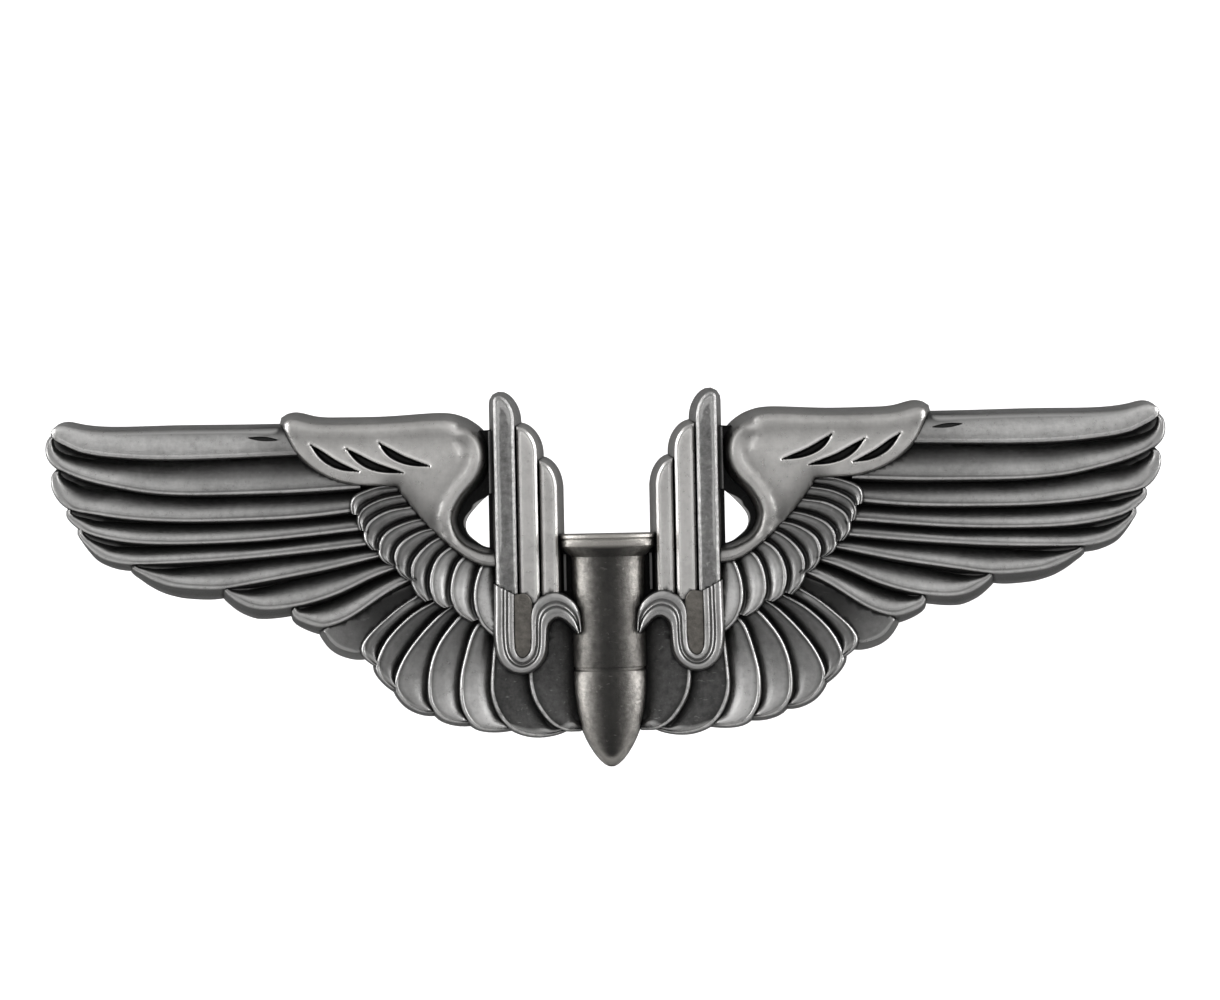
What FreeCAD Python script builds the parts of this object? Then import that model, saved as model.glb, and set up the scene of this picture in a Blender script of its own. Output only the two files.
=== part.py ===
import FreeCAD, Part

# Winged aircrew badge, in millimetres: one casting, three nail posts and three butterfly clutches.
#
# Frame: +X is the viewer's right when looking at the front, +Z is up as worn, the front faces -Y.
# The origin is on the flat back face, on the badge's middle line, level with the cartridge's head.
#
# The casting carries two feathered wings, two stepped pylons ending in scrolls, and a cartridge
# with its nose down. Each post is soldered into a cup in the back and gripped by a clutch made of
# a base, a cap and two spring arms.

import math
import os

from FreeCAD import Vector

# ---------------------------------------------------------------- driving dimensions: casting
FOOT_HEIGHT = 1.2
PRIMARY_HEIGHTS = (2.3, 1.3)        # raised edge, hidden side
SECONDARY_HEIGHTS = (2.4, 1.5)
COVERT_HEIGHTS = (2.85, 2.1)
SHOULDER_HEIGHT = 3.1
WEB_HEIGHT = 1.0            # floor of the recesses beside the pylons and the cartridge
RIB_HEIGHT = 1.9
PYLON_HEIGHTS = (3.4, 3.25, 3.1)
PYLON_PLINTH_HEIGHT = 2.5
PYLON_PLINTH_EDGE = 0.35
SCROLL_HEIGHT = 3.75
SCROLL_PANEL_HEIGHT = 3.35
SLIT_WIDTH = 0.42
SLIT_DEPTH = 0.6

AXIS_DEPTH = 1.1           # the cartridge's axis stands this far in front of the back
CASE_RADIUS = 2.45
CASE_HEAD_RADIUS = 3.25
CASE_TOP = 1.85
CASE_MOUTH = -7.25
MOUTH_GROOVE = 0.25
NOSE_TIP = -14.0

# ---------------------------------------------------------------- driving dimensions: hardware
POSTS = {"left": (-22.0, 3.2), "centre": (0.0, -4.6), "right": (22.0, 3.2)}
POST_RADIUS = 0.55
POST_TIP = 7.6              # distance of the tip behind the badge's back
POST_CONE = 1.1
PAD_RADIUS = 2.0
PAD_THICKNESS = 0.5
CUP_RADIUS = 2.3            # solder cup sunk into the badge's back
CUP_DEPTH = 0.25
RINGS_FROM = 2.35           # V-shaped ring grooves the clutch's jaws click into
RING_PITCH = 0.5
RING_COUNT = 7
RING_DEPTH = 0.1

SHEET = 0.35
CLUTCH_REST = 2.7           # the clutch's cloth side stands this far behind the badge's back
BASE_RADIUS = 5.7
BASE_HOLE_RADIUS = 0.75
LIP_INNER_RADIUS = 4.8
LIP_LEVEL = 0.72            # underside of the lip that is rolled over the cap's flange
CAP_FLANGE_RADIUS = 5.3
DOME_RADIUS = 3.9
DOME_TOP = 3.6
NIPPLE_RADIUS = 1.7
CAP_TOP = 5.4
SLOT_LEVELS = (2.1, 3.1)
ARM_WIDTH = 3.6
ARM_GAP = 0.15
ARM_PATH = ((0.12, 1.35), (2.3, 1.35), (2.9, 2.6), (4.7, 2.6), (7.8, 5.4))
JAW_NOTCH_RADIUS = 0.60
WING_CORNER = 1.2

FRONT = Vector(0, -1, 0)
BACK = Vector(0, 1, 0)

# -------------------------------------------------- the right-hand wing's outlines, as (x, z)
# Each feather is its raised edge, the two ends of the side hidden by its neighbour, and how far
# its foot stands out past the edge.
PRIMARIES = (       # edges from tip to root, top feather first
    (((36.7, 10.05), (37.45, 9.3), (36.6, 8.55), (34.5, 7.9), (30.0, 7.43), (20.5, 7.6)),
     ((20.5, 9.6), (34.5, 9.7)), 0.4),
    (((37.5, 9.0), (37.62, 7.9), (36.6, 6.8), (33.5, 5.75), (27.0, 5.0), (16.5, 5.3)),
     ((17.0, 7.9), (36.3, 9.0)), 0.48),
    (((37.4, 6.35), (37.2, 5.2), (36.3, 4.35), (33.0, 3.55), (27.0, 3.2), (16.5, 3.8)),
     ((16.5, 5.9), (36.2, 7.0)), 0.45),
    (((36.5, 3.9), (35.95, 3.15), (34.5, 2.35), (31.0, 1.75), (25.5, 1.77), (15.8, 2.6)),
     ((15.8, 4.3), (35.6, 4.6)), 0.5),
    (((35.7, 2.7), (35.2, 1.8), (33.8, 0.75), (31.0, 0.38), (25.5, 0.6), (15.3, 1.6)),
     ((15.3, 3.1), (34.6, 2.9)), 0.65),
    (((32.2, 0.35), (31.3, -0.4), (29.3, -1.15), (26.6, -1.37), (22.0, -0.8), (14.8, 0.7)),
     ((14.8, 2.2), (31.8, 1.0)), 0.8),
    (((26.0, -1.2), (25.2, -2.1), (24.2, -2.65), (22.4, -2.8), (18.8, -2.05), (13.6, 0.0)),
     ((13.8, 1.3), (25.5, -0.6)), 0.8),
    (((21.6, -2.7), (20.9, -3.6), (20.0, -3.97), (18.9, -3.95), (16.6, -3.0), (12.6, -0.9)),
     ((12.8, 0.3), (21.0, -1.9)), 0.7),
    (((19.6, -4.0), (19.0, -5.0), (18.3, -5.65), (17.4, -5.9), (15.5, -5.0), (12.0, -2.2)),
     ((12.2, -1.0), (18.8, -3.3)), 0.55),
)
SECONDARIES = (     # edges from root to tip, outermost feather first
    (((12.4, -1.7), (13.9, -2.75), (15.6, -4.1), (16.65, -5.6), (15.7, -6.85)),
     ((14.6, -7.3), (11.2, -2.4)), 0.45),
    (((11.6, -2.3), (13.3, -3.4), (14.8, -4.9), (15.75, -6.8), (14.4, -8.55)),
     ((13.3, -8.8), (10.4, -3.0)), 0.5),
    (((10.6, -2.7), (12.3, -4.3), (13.8, -6.2), (14.4, -8.4), (12.2, -10.05)),
     ((11.2, -9.8), (9.4, -3.5)), 0.55),
    (((9.5, -3.1), (11.0, -4.6), (12.0, -6.7), (12.1, -9.4), (9.8, -10.75)),
     ((8.9, -10.4), (8.2, -4.0)), 0.6),
    (((8.4, -3.7), (9.4, -5.3), (10.0, -7.5), (9.7, -10.4), (7.0, -11.3)),
     ((6.4, -10.8), (7.0, -4.6)), 0.5),
    (((7.4, -4.4), (7.8, -6.4), (8.0, -8.5), (7.1, -10.9), (4.3, -11.8)),
     ((3.8, -10.9), (4.8, -4.8)), 0.45),
    (((5.4, -4.6), (5.4, -7.0), (5.1, -9.2), (3.9, -10.95), (2.0, -11.5)),
     ((1.6, -11.0), (1.6, -4.6)), 0.45),
)
COVERTS = (         # edges from root to tip, top feather first
    (((13.6, 5.6), (15.3, 5.35), (16.8, 4.75), (17.05, 3.5)), ((16.0, 3.2), (13.0, 4.4)), 0.3),
    (((13.2, 4.8), (15.0, 4.5), (16.45, 3.75), (16.5, 2.4)), ((15.4, 2.0), (12.5, 3.5)), 0.3),
    (((12.8, 4.1), (14.6, 3.7), (16.1, 2.75), (15.9, 1.1)), ((14.7, 1.0), (11.9, 2.6)), 0.3),
    (((12.4, 3.1), (13.9, 2.7), (15.2, 1.7), (14.9, 0.1)), ((13.6, 0.0), (11.3, 1.9)), 0.3),
    (((11.9, 2.3), (13.2, 1.9), (14.3, 0.6), (13.7, -0.95)), ((12.6, -1.0), (10.8, 1.2)), 0.3),
    (((11.2, 1.7), (12.3, 1.1), (13.2, -0.4), (12.4, -2.4)), ((11.3, -2.1), (10.0, 0.6)), 0.3),
    (((10.6, 1.0), (11.4, 0.4), (12.0, -1.2), (10.9, -2.9)), ((9.7, -2.6), (9.3, -0.1)), 0.3),
    (((9.7, 0.4), (10.3, -0.4), (10.6, -2.1), (9.3, -3.85)), ((8.2, -3.6), (8.3, -0.4)), 0.3),
    (((8.2, 0.3), (8.8, -0.9), (9.0, -2.8), (7.8, -4.8)), ((6.9, -4.4), (6.9, 0.2)), 0.3),
)
SHOULDER = (
    ((9.4, 9.4), (12.0, 9.75), (16.0, 9.6), (21.3, 10.0)),
    ((21.3, 10.0), (21.3, 8.4), (19.4, 6.4), (16.8, 5.45), (14.4, 5.3)),
    ((14.4, 5.3), (12.6, 2.9), (11.0, 1.2), (9.2, 0.1), (7.2, 0.0)),
    ((7.2, 0.9), (9.3, 1.2), (10.3, 3.0), (8.9, 5.4), (8.15, 7.3), (9.4, 9.4)),
)
SLITS = (
    ((19.8, 8.15), (18.5, 7.0), (16.7, 6.4)),
    ((17.4, 7.85), (15.7, 6.65), (13.7, 6.25)),
    ((15.2, 8.2), (13.75, 7.05), (11.9, 6.65)),
)
# The dark web between shoulder and pylon, and the opening through it.
WEB = ((7.0, 9.0), (9.6, 9.0), (9.6, 5.6), (10.6, 3.6), (10.3, 0.8), (7.0, 0.4))
OPENING = ((8.0, 4.6), (9.0, 3.75), (9.6, 2.6), (9.2, 1.6), (8.0, 1.0))
WEB_RIB = (7.6, 7.95, 4.6, 8.9)     # x from, x to, z from, z to
# Bars of a pylon, outer one first: x from, x to, height of the crown, height of its low corner.
PYLON_BARS = ((6.15, 7.5, 11.35, 9.9), (4.65, 5.95, 9.35, 8.2), (3.35, 4.45, 6.95, 5.7))
PYLON_FOOT = -2.6
SCROLL_SIDES = (4.25, 7.65)
SCROLL_TOP = -1.5
SCROLL_PANEL_SIDES = (5.2, 6.5)
SCROLL_PANEL_TOP = -2.3
SCROLL_BOTTOM = -7.45
HOOK_OUTER = ((5.4, -2.9), (4.6, -2.35), (3.4, -2.05), (2.3, -2.8), (1.75, -4.0), (2.05, -4.85))
HOOK_INNER = ((2.05, -4.85), (2.9, -4.0), (3.4, -3.75), (4.0, -4.2), (4.4, -5.2))


# ---------------------------------------------------------------- helpers
def at(point, height=0.0):
    """An outline point, lifted this far in front of the badge's back."""
    return Vector(point[0], -height, point[1])


def curve(points):
    spline = Part.BSplineCurve()
    spline.interpolate([at(p) for p in points])
    return spline.toShape()


def line(a, b):
    return Part.makeLine(at(a), at(b))


def prism(edges, height):
    """A closed outline raised from the badge's back to a height in front of it."""
    wire = Part.Wire(Part.__sortEdges__(edges))
    return Part.Face(wire).extrude(FRONT * height)


def polygon_prism(points, height):
    corners = [at(p) for p in points]
    return Part.Face(Part.makePolygon(corners + corners[:1])).extrude(FRONT * height)


def block(x_from, x_to, z_from, z_to, height):
    return Part.makeBox(x_to - x_from, height, z_to - z_from, Vector(x_from, -height, z_from))


def fuse(solids):
    return solids[0].multiFuse(solids[1:])


def mirrored(shape):
    return shape.mirror(Vector(0, 0, 0), Vector(1, 0, 0))


def turned(profile, centre, axis):
    """A solid of revolution from (radius, distance along the axis) points."""
    corners = [centre + Vector(1, 0, 0) * r + axis * d for r, d in profile]
    face = Part.Face(Part.makePolygon(corners + corners[:1]))
    return face.revolve(centre, axis, 360)


# ---------------------------------------------------------------- the casting
def above_plane(first, second, third):
    """A large block whose underside is the plane through three points, for slicing tops off."""
    normal = (second - first).cross(third - first).normalize()
    if normal.y > 0:
        normal = normal * -1
    along = (second - first).normalize()
    middle = first - along * 50 - normal.cross(along) * 50
    corners = [middle, middle + along * 100]
    corners += [c + normal.cross(along) * 100 for c in reversed(corners)]
    return Part.Face(Part.makePolygon(corners + corners[:1])).extrude(normal * 20)


def moved_out(points, distance):
    """The points of an outline, each moved to the left of the way the outline runs."""
    moved = []
    for i, (x, z) in enumerate(points):
        before = points[max(i - 1, 0)]
        after = points[min(i + 1, len(points) - 1)]
        run = math.hypot(after[0] - before[0], after[1] - before[1])
        moved.append((x - (after[1] - before[1]) * distance / run,
                      z + (after[0] - before[0]) * distance / run))
    return moved


def feather(edge, hidden, reach, heights):
    """A blade that slopes down from its raised edge, on a foot that stands out past the edge."""
    high, low = heights
    middle = (0.5 * (hidden[0][0] + hidden[1][0]), 0.5 * (hidden[0][1] + hidden[1][1]))
    top = above_plane(at(edge[1], high), at(edge[-2], high), at(middle, low))
    solids = []
    for outline, height in ((edge, high + 1.5), (moved_out(edge, reach), FOOT_HEIGHT)):
        corners = (outline[-1], hidden[0], hidden[1], outline[0])
        sides = [line(a, b) for a, b in zip(corners, corners[1:])]
        solids.append(prism([curve(outline)] + sides, height).cut(top))
    return solids


def feather_row(row, heights):
    feathers = []
    for edge, hidden, reach in row:
        feathers += feather(edge, hidden, reach, heights)
    return feathers


def slit(points):
    """An almond-shaped groove in the shoulder."""
    first, middle, last = points
    upper = (middle[0] - 0.3 * SLIT_WIDTH, middle[1] + SLIT_WIDTH)
    edges = [curve(points), curve((last, upper, first))]
    return prism(edges, SHOULDER_HEIGHT + 1).cut(prism(edges, SHOULDER_HEIGHT - SLIT_DEPTH))


def shoulder():
    top, tongue, foot, neck = SHOULDER
    edges = [curve(top), curve(tongue), curve(foot), line(foot[-1], neck[0]), curve(neck)]
    return prism(edges, SHOULDER_HEIGHT).cut(fuse([slit(points) for points in SLITS]))


def pylon_bar(x_from, x_to, crown, corner, height, foot, edge=0.0):
    """An upright bar whose top rounds over towards the badge's middle."""
    inner, outer = x_from - edge, x_to + edge
    shoulder_z = crown + edge - 0.25
    crown_start = (outer - 0.35 * (outer - inner), crown + edge)
    low = (inner, corner + edge)
    bulge = (0.5 * (crown_start[0] + low[0]) - 0.12, 0.5 * (crown_start[1] + low[1]) + 0.22)
    edges = [
        line((inner, foot), (outer, foot)),
        line((outer, foot), (outer, shoulder_z)),
        line((outer, shoulder_z), crown_start),
        curve((crown_start, bulge, low)),
        line(low, (inner, foot)),
    ]
    return prism(edges, height)


def pylon():
    bars = []
    for (x_from, x_to, crown, corner), height in zip(PYLON_BARS, PYLON_HEIGHTS):
        bars.append(pylon_bar(x_from, x_to, crown, corner, height, PYLON_FOOT))
        bars.append(
            pylon_bar(x_from, x_to, crown, corner, PYLON_PLINTH_HEIGHT, PYLON_FOOT, PYLON_PLINTH_EDGE)
        )
    return bars


def u_shape(sides, top, bottom, height):
    left, right = sides
    radius = 0.5 * (right - left)
    middle = 0.5 * (left + right)
    bowl = Part.Arc(at((left, bottom + radius)), at((middle, bottom)), at((right, bottom + radius)))
    edges = [
        line((left, bottom + radius), (left, top)),
        line((left, top), (right, top)),
        line((right, top), (right, bottom + radius)),
        bowl.toShape(),
    ]
    return prism(edges, height)


def scroll():
    """The pylon's foot: a U with a sunk panel, and a hook that curls on to the cartridge."""
    foot = u_shape(SCROLL_SIDES, SCROLL_TOP, SCROLL_BOTTOM, SCROLL_HEIGHT)
    panel_bottom = SCROLL_BOTTOM + SCROLL_PANEL_SIDES[0] - SCROLL_SIDES[0]
    panel = u_shape(SCROLL_PANEL_SIDES, SCROLL_PANEL_TOP, panel_bottom, SCROLL_HEIGHT + 1)
    panel = panel.cut(u_shape(SCROLL_PANEL_SIDES, SCROLL_PANEL_TOP, panel_bottom, SCROLL_PANEL_HEIGHT))
    closing = line(HOOK_INNER[-1], HOOK_OUTER[0])
    hook = prism([curve(HOOK_OUTER), curve(HOOK_INNER), closing], SCROLL_HEIGHT)
    return [foot.cut(panel), hook]


def cartridge():
    """A case with a flared head and a pointed nose, sunk to below its axis in the badge."""
    neck = CASE_RADIUS - 0.12
    nose = ((neck, CASE_MOUTH - MOUTH_GROOVE), (2.2, -10.2), (1.4, -12.7), (0.0, NOSE_TIP))
    body = (
        (0.0, CASE_TOP),
        (CASE_HEAD_RADIUS, CASE_TOP),
        (CASE_HEAD_RADIUS, 1.0),
        (CASE_RADIUS, 0.3),
        (CASE_RADIUS, CASE_MOUTH),
        (neck, CASE_MOUTH),
        nose[0],
    )
    edges = [line(a, b) for a, b in zip(body, body[1:])]
    half = edges + [curve(nose), line(nose[-1], body[0])]
    half_face = Part.Face(Part.Wire(Part.__sortEdges__(half)))
    half_face.translate(FRONT * AXIS_DEPTH)
    turned_part = half_face.revolve(at((0, 0), AXIS_DEPTH), Vector(0, 0, 1), 360)
    half_prism = prism(half, AXIS_DEPTH)
    behind = Part.makeBox(20, 20, 40, Vector(-10, 0, -20))
    return [turned_part.cut(behind), half_prism, mirrored(half_prism)]


def half_badge():
    """Everything on the right-hand side but the cartridge."""
    pieces = feather_row(PRIMARIES, PRIMARY_HEIGHTS)
    pieces += feather_row(SECONDARIES, SECONDARY_HEIGHTS)
    pieces += feather_row(COVERTS, COVERT_HEIGHTS)
    web = polygon_prism(WEB, WEB_HEIGHT)
    rib = block(*WEB_RIB, RIB_HEIGHT)
    floor = block(0.0, 7.4, -9.0, 0.7, WEB_HEIGHT)
    pieces += [web, rib, floor, shoulder()]
    pieces += pylon() + scroll()
    opening = prism([curve(OPENING), line(OPENING[-1], OPENING[0])], 10)
    return fuse(pieces).cut(opening)


def wings_badge():
    half = half_badge()
    badge = fuse([half, mirrored(half)] + cartridge())
    cups = []
    for x, z in POSTS.values():
        cups.append(Part.makeCylinder(CUP_RADIUS, 1 + CUP_DEPTH, Vector(x, -CUP_DEPTH, z), BACK))
    return badge.cut(fuse(cups)).removeSplitter()


# ---------------------------------------------------------------- posts and clutches
def post(place):
    """A soldered nail post: round pad, grooved shank and a pointed tip."""
    root = Vector(place[0], -CUP_DEPTH, place[1])
    tip = POST_TIP + CUP_DEPTH
    profile = [(0, 0), (PAD_RADIUS, 0), (PAD_RADIUS, PAD_THICKNESS), (POST_RADIUS, PAD_THICKNESS)]
    for i in range(RING_COUNT):
        crest = CUP_DEPTH + RINGS_FROM + i * RING_PITCH
        profile += [(POST_RADIUS, crest), (POST_RADIUS - RING_DEPTH, crest + 0.5 * RING_PITCH)]
    profile.append((POST_RADIUS, crest + RING_PITCH))
    profile += [(POST_RADIUS, tip - POST_CONE), (0.08, tip), (0, tip)]
    return turned(profile, root, BACK)


def clutch_base(origin):
    """A round plate with its lip rolled over the cap's flange."""
    lip_top = LIP_LEVEL + SHEET
    profile = (
        (BASE_HOLE_RADIUS, 0),
        (BASE_RADIUS - 0.2, 0),
        (BASE_RADIUS, 0.2),
        (BASE_RADIUS, lip_top - 0.2),
        (BASE_RADIUS - 0.2, lip_top),
        (LIP_INNER_RADIUS, lip_top),
        (LIP_INNER_RADIUS, LIP_LEVEL),
        (BASE_RADIUS - SHEET, LIP_LEVEL),
        (BASE_RADIUS - SHEET, SHEET),
        (BASE_HOLE_RADIUS, SHEET),
    )
    return turned(profile, origin, BACK)


def cap_surface(inset):
    """The cap's outside from flange to top, drawn in by a sheet's thickness for its inside."""
    return [
        (DOME_RADIUS + 0.4 - inset, 2 * SHEET - inset),
        (DOME_RADIUS - inset, 2 * SHEET + 0.4 - inset),
        (DOME_RADIUS - inset, DOME_TOP - 0.5),
        (DOME_RADIUS - 0.5 - 0.8 * inset, DOME_TOP - 0.6 * inset),
        (NIPPLE_RADIUS + 0.3 - 0.6 * inset, DOME_TOP + 0.3 - inset),
        (NIPPLE_RADIUS - inset, DOME_TOP + 0.6 - 0.4 * inset),
        (NIPPLE_RADIUS - inset, CAP_TOP - 0.4 - 0.4 * inset),
        (NIPPLE_RADIUS - 0.4 - 0.6 * inset, CAP_TOP - inset),
        (0, CAP_TOP - inset),
    ]


def clutch_cap(origin):
    """A flanged dome with a closed nipple over the post's tip and a slot on each side."""
    outside = [(CAP_FLANGE_RADIUS, SHEET), (CAP_FLANGE_RADIUS, 2 * SHEET)] + cap_surface(0)
    cap = turned(outside + list(reversed(cap_surface(SHEET))), origin, BACK)
    width = ARM_WIDTH + 2 * ARM_GAP
    low, high = SLOT_LEVELS
    corner = origin + Vector(2.5, low, -0.5 * width)
    slot = Part.makeBox(2.5, high - low, width, corner)
    return cap.cut(fuse([slot, slot.mirror(origin, Vector(1, 0, 0))]))


def strip(path, thickness):
    """The side view of a bent sheet: both surfaces follow the path, with mitred bends."""
    front, back = [], []
    for i, here in enumerate(path):
        before = path[max(i - 1, 0)]
        after = path[min(i + 1, len(path) - 1)]
        turn_in = math.atan2(here[1] - before[1], here[0] - before[0]) if i else None
        turn_out = math.atan2(after[1] - here[1], after[0] - here[0]) if after != here else turn_in
        turn_in = turn_out if turn_in is None else turn_in
        middle = 0.5 * (turn_in + turn_out)
        reach = 0.5 * thickness / math.cos(0.5 * (turn_out - turn_in))
        step = (-math.sin(middle) * reach, math.cos(middle) * reach)
        front.append((here[0] + step[0], here[1] + step[1]))
        back.append((here[0] - step[0], here[1] - step[1]))
    return front + back[::-1]


def spring_arm(origin):
    """The right-hand arm: a jaw against the post, a step up to the slot and a wing outside."""
    corners = [origin + Vector(x, y, -0.5 * ARM_WIDTH) for x, y in strip(ARM_PATH, SHEET)]
    face = Part.Face(Part.makePolygon(corners + corners[:1]))
    arm = face.extrude(Vector(0, 0, ARM_WIDTH))
    reach = origin.x + ARM_PATH[-1][0] - 0.3
    ends = [e for e in arm.Edges if e.CenterOfMass.x > reach and abs(e.Length - SHEET) < 0.01]
    arm = arm.makeFillet(WING_CORNER, ends)
    notch = Part.makeCylinder(JAW_NOTCH_RADIUS, 4, origin, BACK)
    return arm.cut(notch)


def clutch(place):
    origin = Vector(place[0], CLUTCH_REST, place[1])
    arm = spring_arm(origin)
    return {
        "base": clutch_base(origin),
        "cap": clutch_cap(origin),
        "arm_right": arm,
        "arm_left": arm.mirror(origin, Vector(1, 0, 0)),
    }


# ---------------------------------------------------------------- one file per piece
def all_pieces():
    pieces = {"wings_badge": wings_badge()}
    for side, place in POSTS.items():
        pieces["post_" + side] = post(place)
        for name, shape in clutch(place).items():
            pieces["clutch_" + side + "_" + name] = shape
    return pieces


os.makedirs("parts", exist_ok=True)
for name, shape in all_pieces().items():
    shape.Solids[0].exportStep("parts/" + name + ".step")
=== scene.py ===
"""Winged aircrew badge: the casting's relief, its posts and butterfly clutches, and a pale studio."""

import math

import bmesh
import bpy
import numpy as np
from mathutils import Matrix, Vector
from mathutils.bvhtree import BVHTree
from mathutils.geometry import delaunay_2d_cdt


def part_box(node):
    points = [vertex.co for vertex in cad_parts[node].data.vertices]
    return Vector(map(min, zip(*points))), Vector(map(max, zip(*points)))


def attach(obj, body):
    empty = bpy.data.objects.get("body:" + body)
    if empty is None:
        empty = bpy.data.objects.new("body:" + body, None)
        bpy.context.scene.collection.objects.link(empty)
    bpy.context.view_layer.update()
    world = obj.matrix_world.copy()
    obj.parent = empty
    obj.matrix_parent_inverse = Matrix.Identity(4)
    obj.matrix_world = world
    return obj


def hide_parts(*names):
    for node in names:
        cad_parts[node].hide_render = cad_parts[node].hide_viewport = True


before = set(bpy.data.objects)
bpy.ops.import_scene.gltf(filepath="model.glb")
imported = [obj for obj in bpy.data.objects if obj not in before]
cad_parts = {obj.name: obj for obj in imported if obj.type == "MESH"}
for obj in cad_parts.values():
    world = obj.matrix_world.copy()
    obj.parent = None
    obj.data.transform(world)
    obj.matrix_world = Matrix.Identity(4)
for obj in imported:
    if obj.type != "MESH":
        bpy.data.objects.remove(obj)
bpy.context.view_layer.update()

MM = 0.001
UNDER = -0.6                # solids start this far behind the back plane, and are cut flush later


# ---------------- curves, in mm
def spline(points, knots, at):
    """A natural cubic spline through points, at the given parameter values."""
    p = np.asarray(points, float)
    n = len(p)
    h = np.diff(knots)
    a = np.zeros((n, n))
    b = np.zeros((n, p.shape[1]))
    a[0, 0] = a[-1, -1] = 1
    for i in range(1, n - 1):
        a[i, i - 1], a[i, i], a[i, i + 1] = h[i - 1], 2 * (h[i - 1] + h[i]), h[i]
        b[i] = 6 * ((p[i + 1] - p[i]) / h[i] - (p[i] - p[i - 1]) / h[i - 1])
    m = np.linalg.solve(a, b)
    k = np.clip(np.searchsorted(knots, at, side="right") - 1, 0, n - 2)
    t0, hk = knots[k], h[k]
    u, v = ((knots[k + 1] - at) / hk)[:, None], ((at - t0) / hk)[:, None]
    hk = hk[:, None]
    return u * p[k] + v * p[k + 1] + ((u**3 - u) * m[k] + (v**3 - v) * m[k + 1]) * hk**2 / 6


def chord_knots(points):
    """Parameter values for a spline's points, spaced by their distances."""
    gaps = np.linalg.norm(np.diff(np.asarray(points, float), axis=0), axis=1)
    return np.r_[0, np.cumsum(gaps**0.75)]


def sampled(points, step):
    """A smooth curve through points, evenly sampled about every step."""
    knots = chord_knots(points)
    fine = spline(points, knots, np.linspace(0, knots[-1], 40 * len(points)))
    run = np.r_[0, np.cumsum(np.linalg.norm(np.diff(fine, axis=0), axis=1))]
    count = max(int(round(run[-1] / step)), 2) + 1
    want = np.linspace(0, run[-1], count)
    return np.stack([np.interp(want, run, fine[:, i]) for i in range(fine.shape[1])], 1)


def outline(*runs, step=0.16):
    """A closed outline from runs of points: each run of three or more is smooth, two are a line."""
    parts = []
    for run in runs:
        part = sampled(run, step)
        if parts and np.linalg.norm(parts[-1][-1] - part[0]) < 1e-6:
            part = part[1:]
        parts.append(part)
    loop = np.concatenate(parts)
    if np.linalg.norm(loop[0] - loop[-1]) < 1e-6:
        loop = loop[:-1]
    x, z = loop[:, 0], loop[:, 1]
    area = 0.5 * np.sum(x * np.roll(z, -1) - np.roll(x, -1) * z)
    return loop if area > 0 else loop[::-1]


def inward(loop):
    """Unit normals of an anticlockwise loop, pointing inside."""
    along = np.roll(loop, -1, 0) - np.roll(loop, 1, 0)
    normal = np.stack([-along[:, 1], along[:, 0]], 1)
    return normal / np.linalg.norm(normal, axis=1)[:, None]


def distance(points, line, closed=False):
    """The distance from each point to a polyline."""
    a = line if closed else line[:-1]
    b = np.roll(line, -1, 0) if closed else line[1:]
    best = np.full(len(points), 1e9)
    for p, q in zip(a, b):
        d = q - p
        t = np.clip(((points - p) @ d) / max(d @ d, 1e-12), 0, 1)
        best = np.minimum(best, np.linalg.norm(points - p - t[:, None] * d, axis=1))
    return best


def inside(points, loop):
    """Which of the points lie inside a loop."""
    x, z = points[:, 0], points[:, 1]
    odd = np.zeros(len(points), bool)
    for (x0, z0), (x1, z1) in zip(loop, np.roll(loop, -1, 0)):
        if z0 == z1:
            continue
        crosses = (z0 > z) != (z1 > z)
        odd ^= crosses & (x < (x1 - x0) * (z - z0) / (z1 - z0) + x0)
    return odd


# ---------------- solids, in mm
def placed(name, data):
    """A new object in the scene."""
    obj = bpy.data.objects.new(name, data)
    bpy.context.scene.collection.objects.link(obj)
    return obj


def make_mesh(name, points, faces):
    """A mesh in metres from points (x, height in front of the back, z and perhaps polish)."""
    p = np.asarray(points, float)
    verts = np.stack([p[:, 0], -p[:, 1], p[:, 2]], 1) * MM
    mesh = bpy.data.meshes.new(name)
    mesh.from_pydata(verts.tolist(), [], faces)
    if p.shape[1] == 4:
        layer = mesh.attributes.new("polish_and_painted_light", "FLOAT", "POINT")
        layer.data.foreach_set("value", p[:, 3])
    mesh.update()
    return mesh


def grid_solid(rows):
    """A closed solid from rows of equal length: each row is a cross-section from wall to wall."""
    rows = np.asarray(rows, float)
    n, m, columns = rows.shape
    faces = []
    for i in range(n - 1):
        for j in range(m - 1):
            a = i * m + j
            faces.append((a, a + 1, a + m + 1, a + m))
        faces.append((i * m + m - 1, i * m, (i + 1) * m, (i + 1) * m + m - 1))
    faces.append(tuple(range(m - 1, -1, -1)))
    faces.append(tuple((n - 1) * m + j for j in range(m)))
    return rows.reshape(-1, columns), faces


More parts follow.
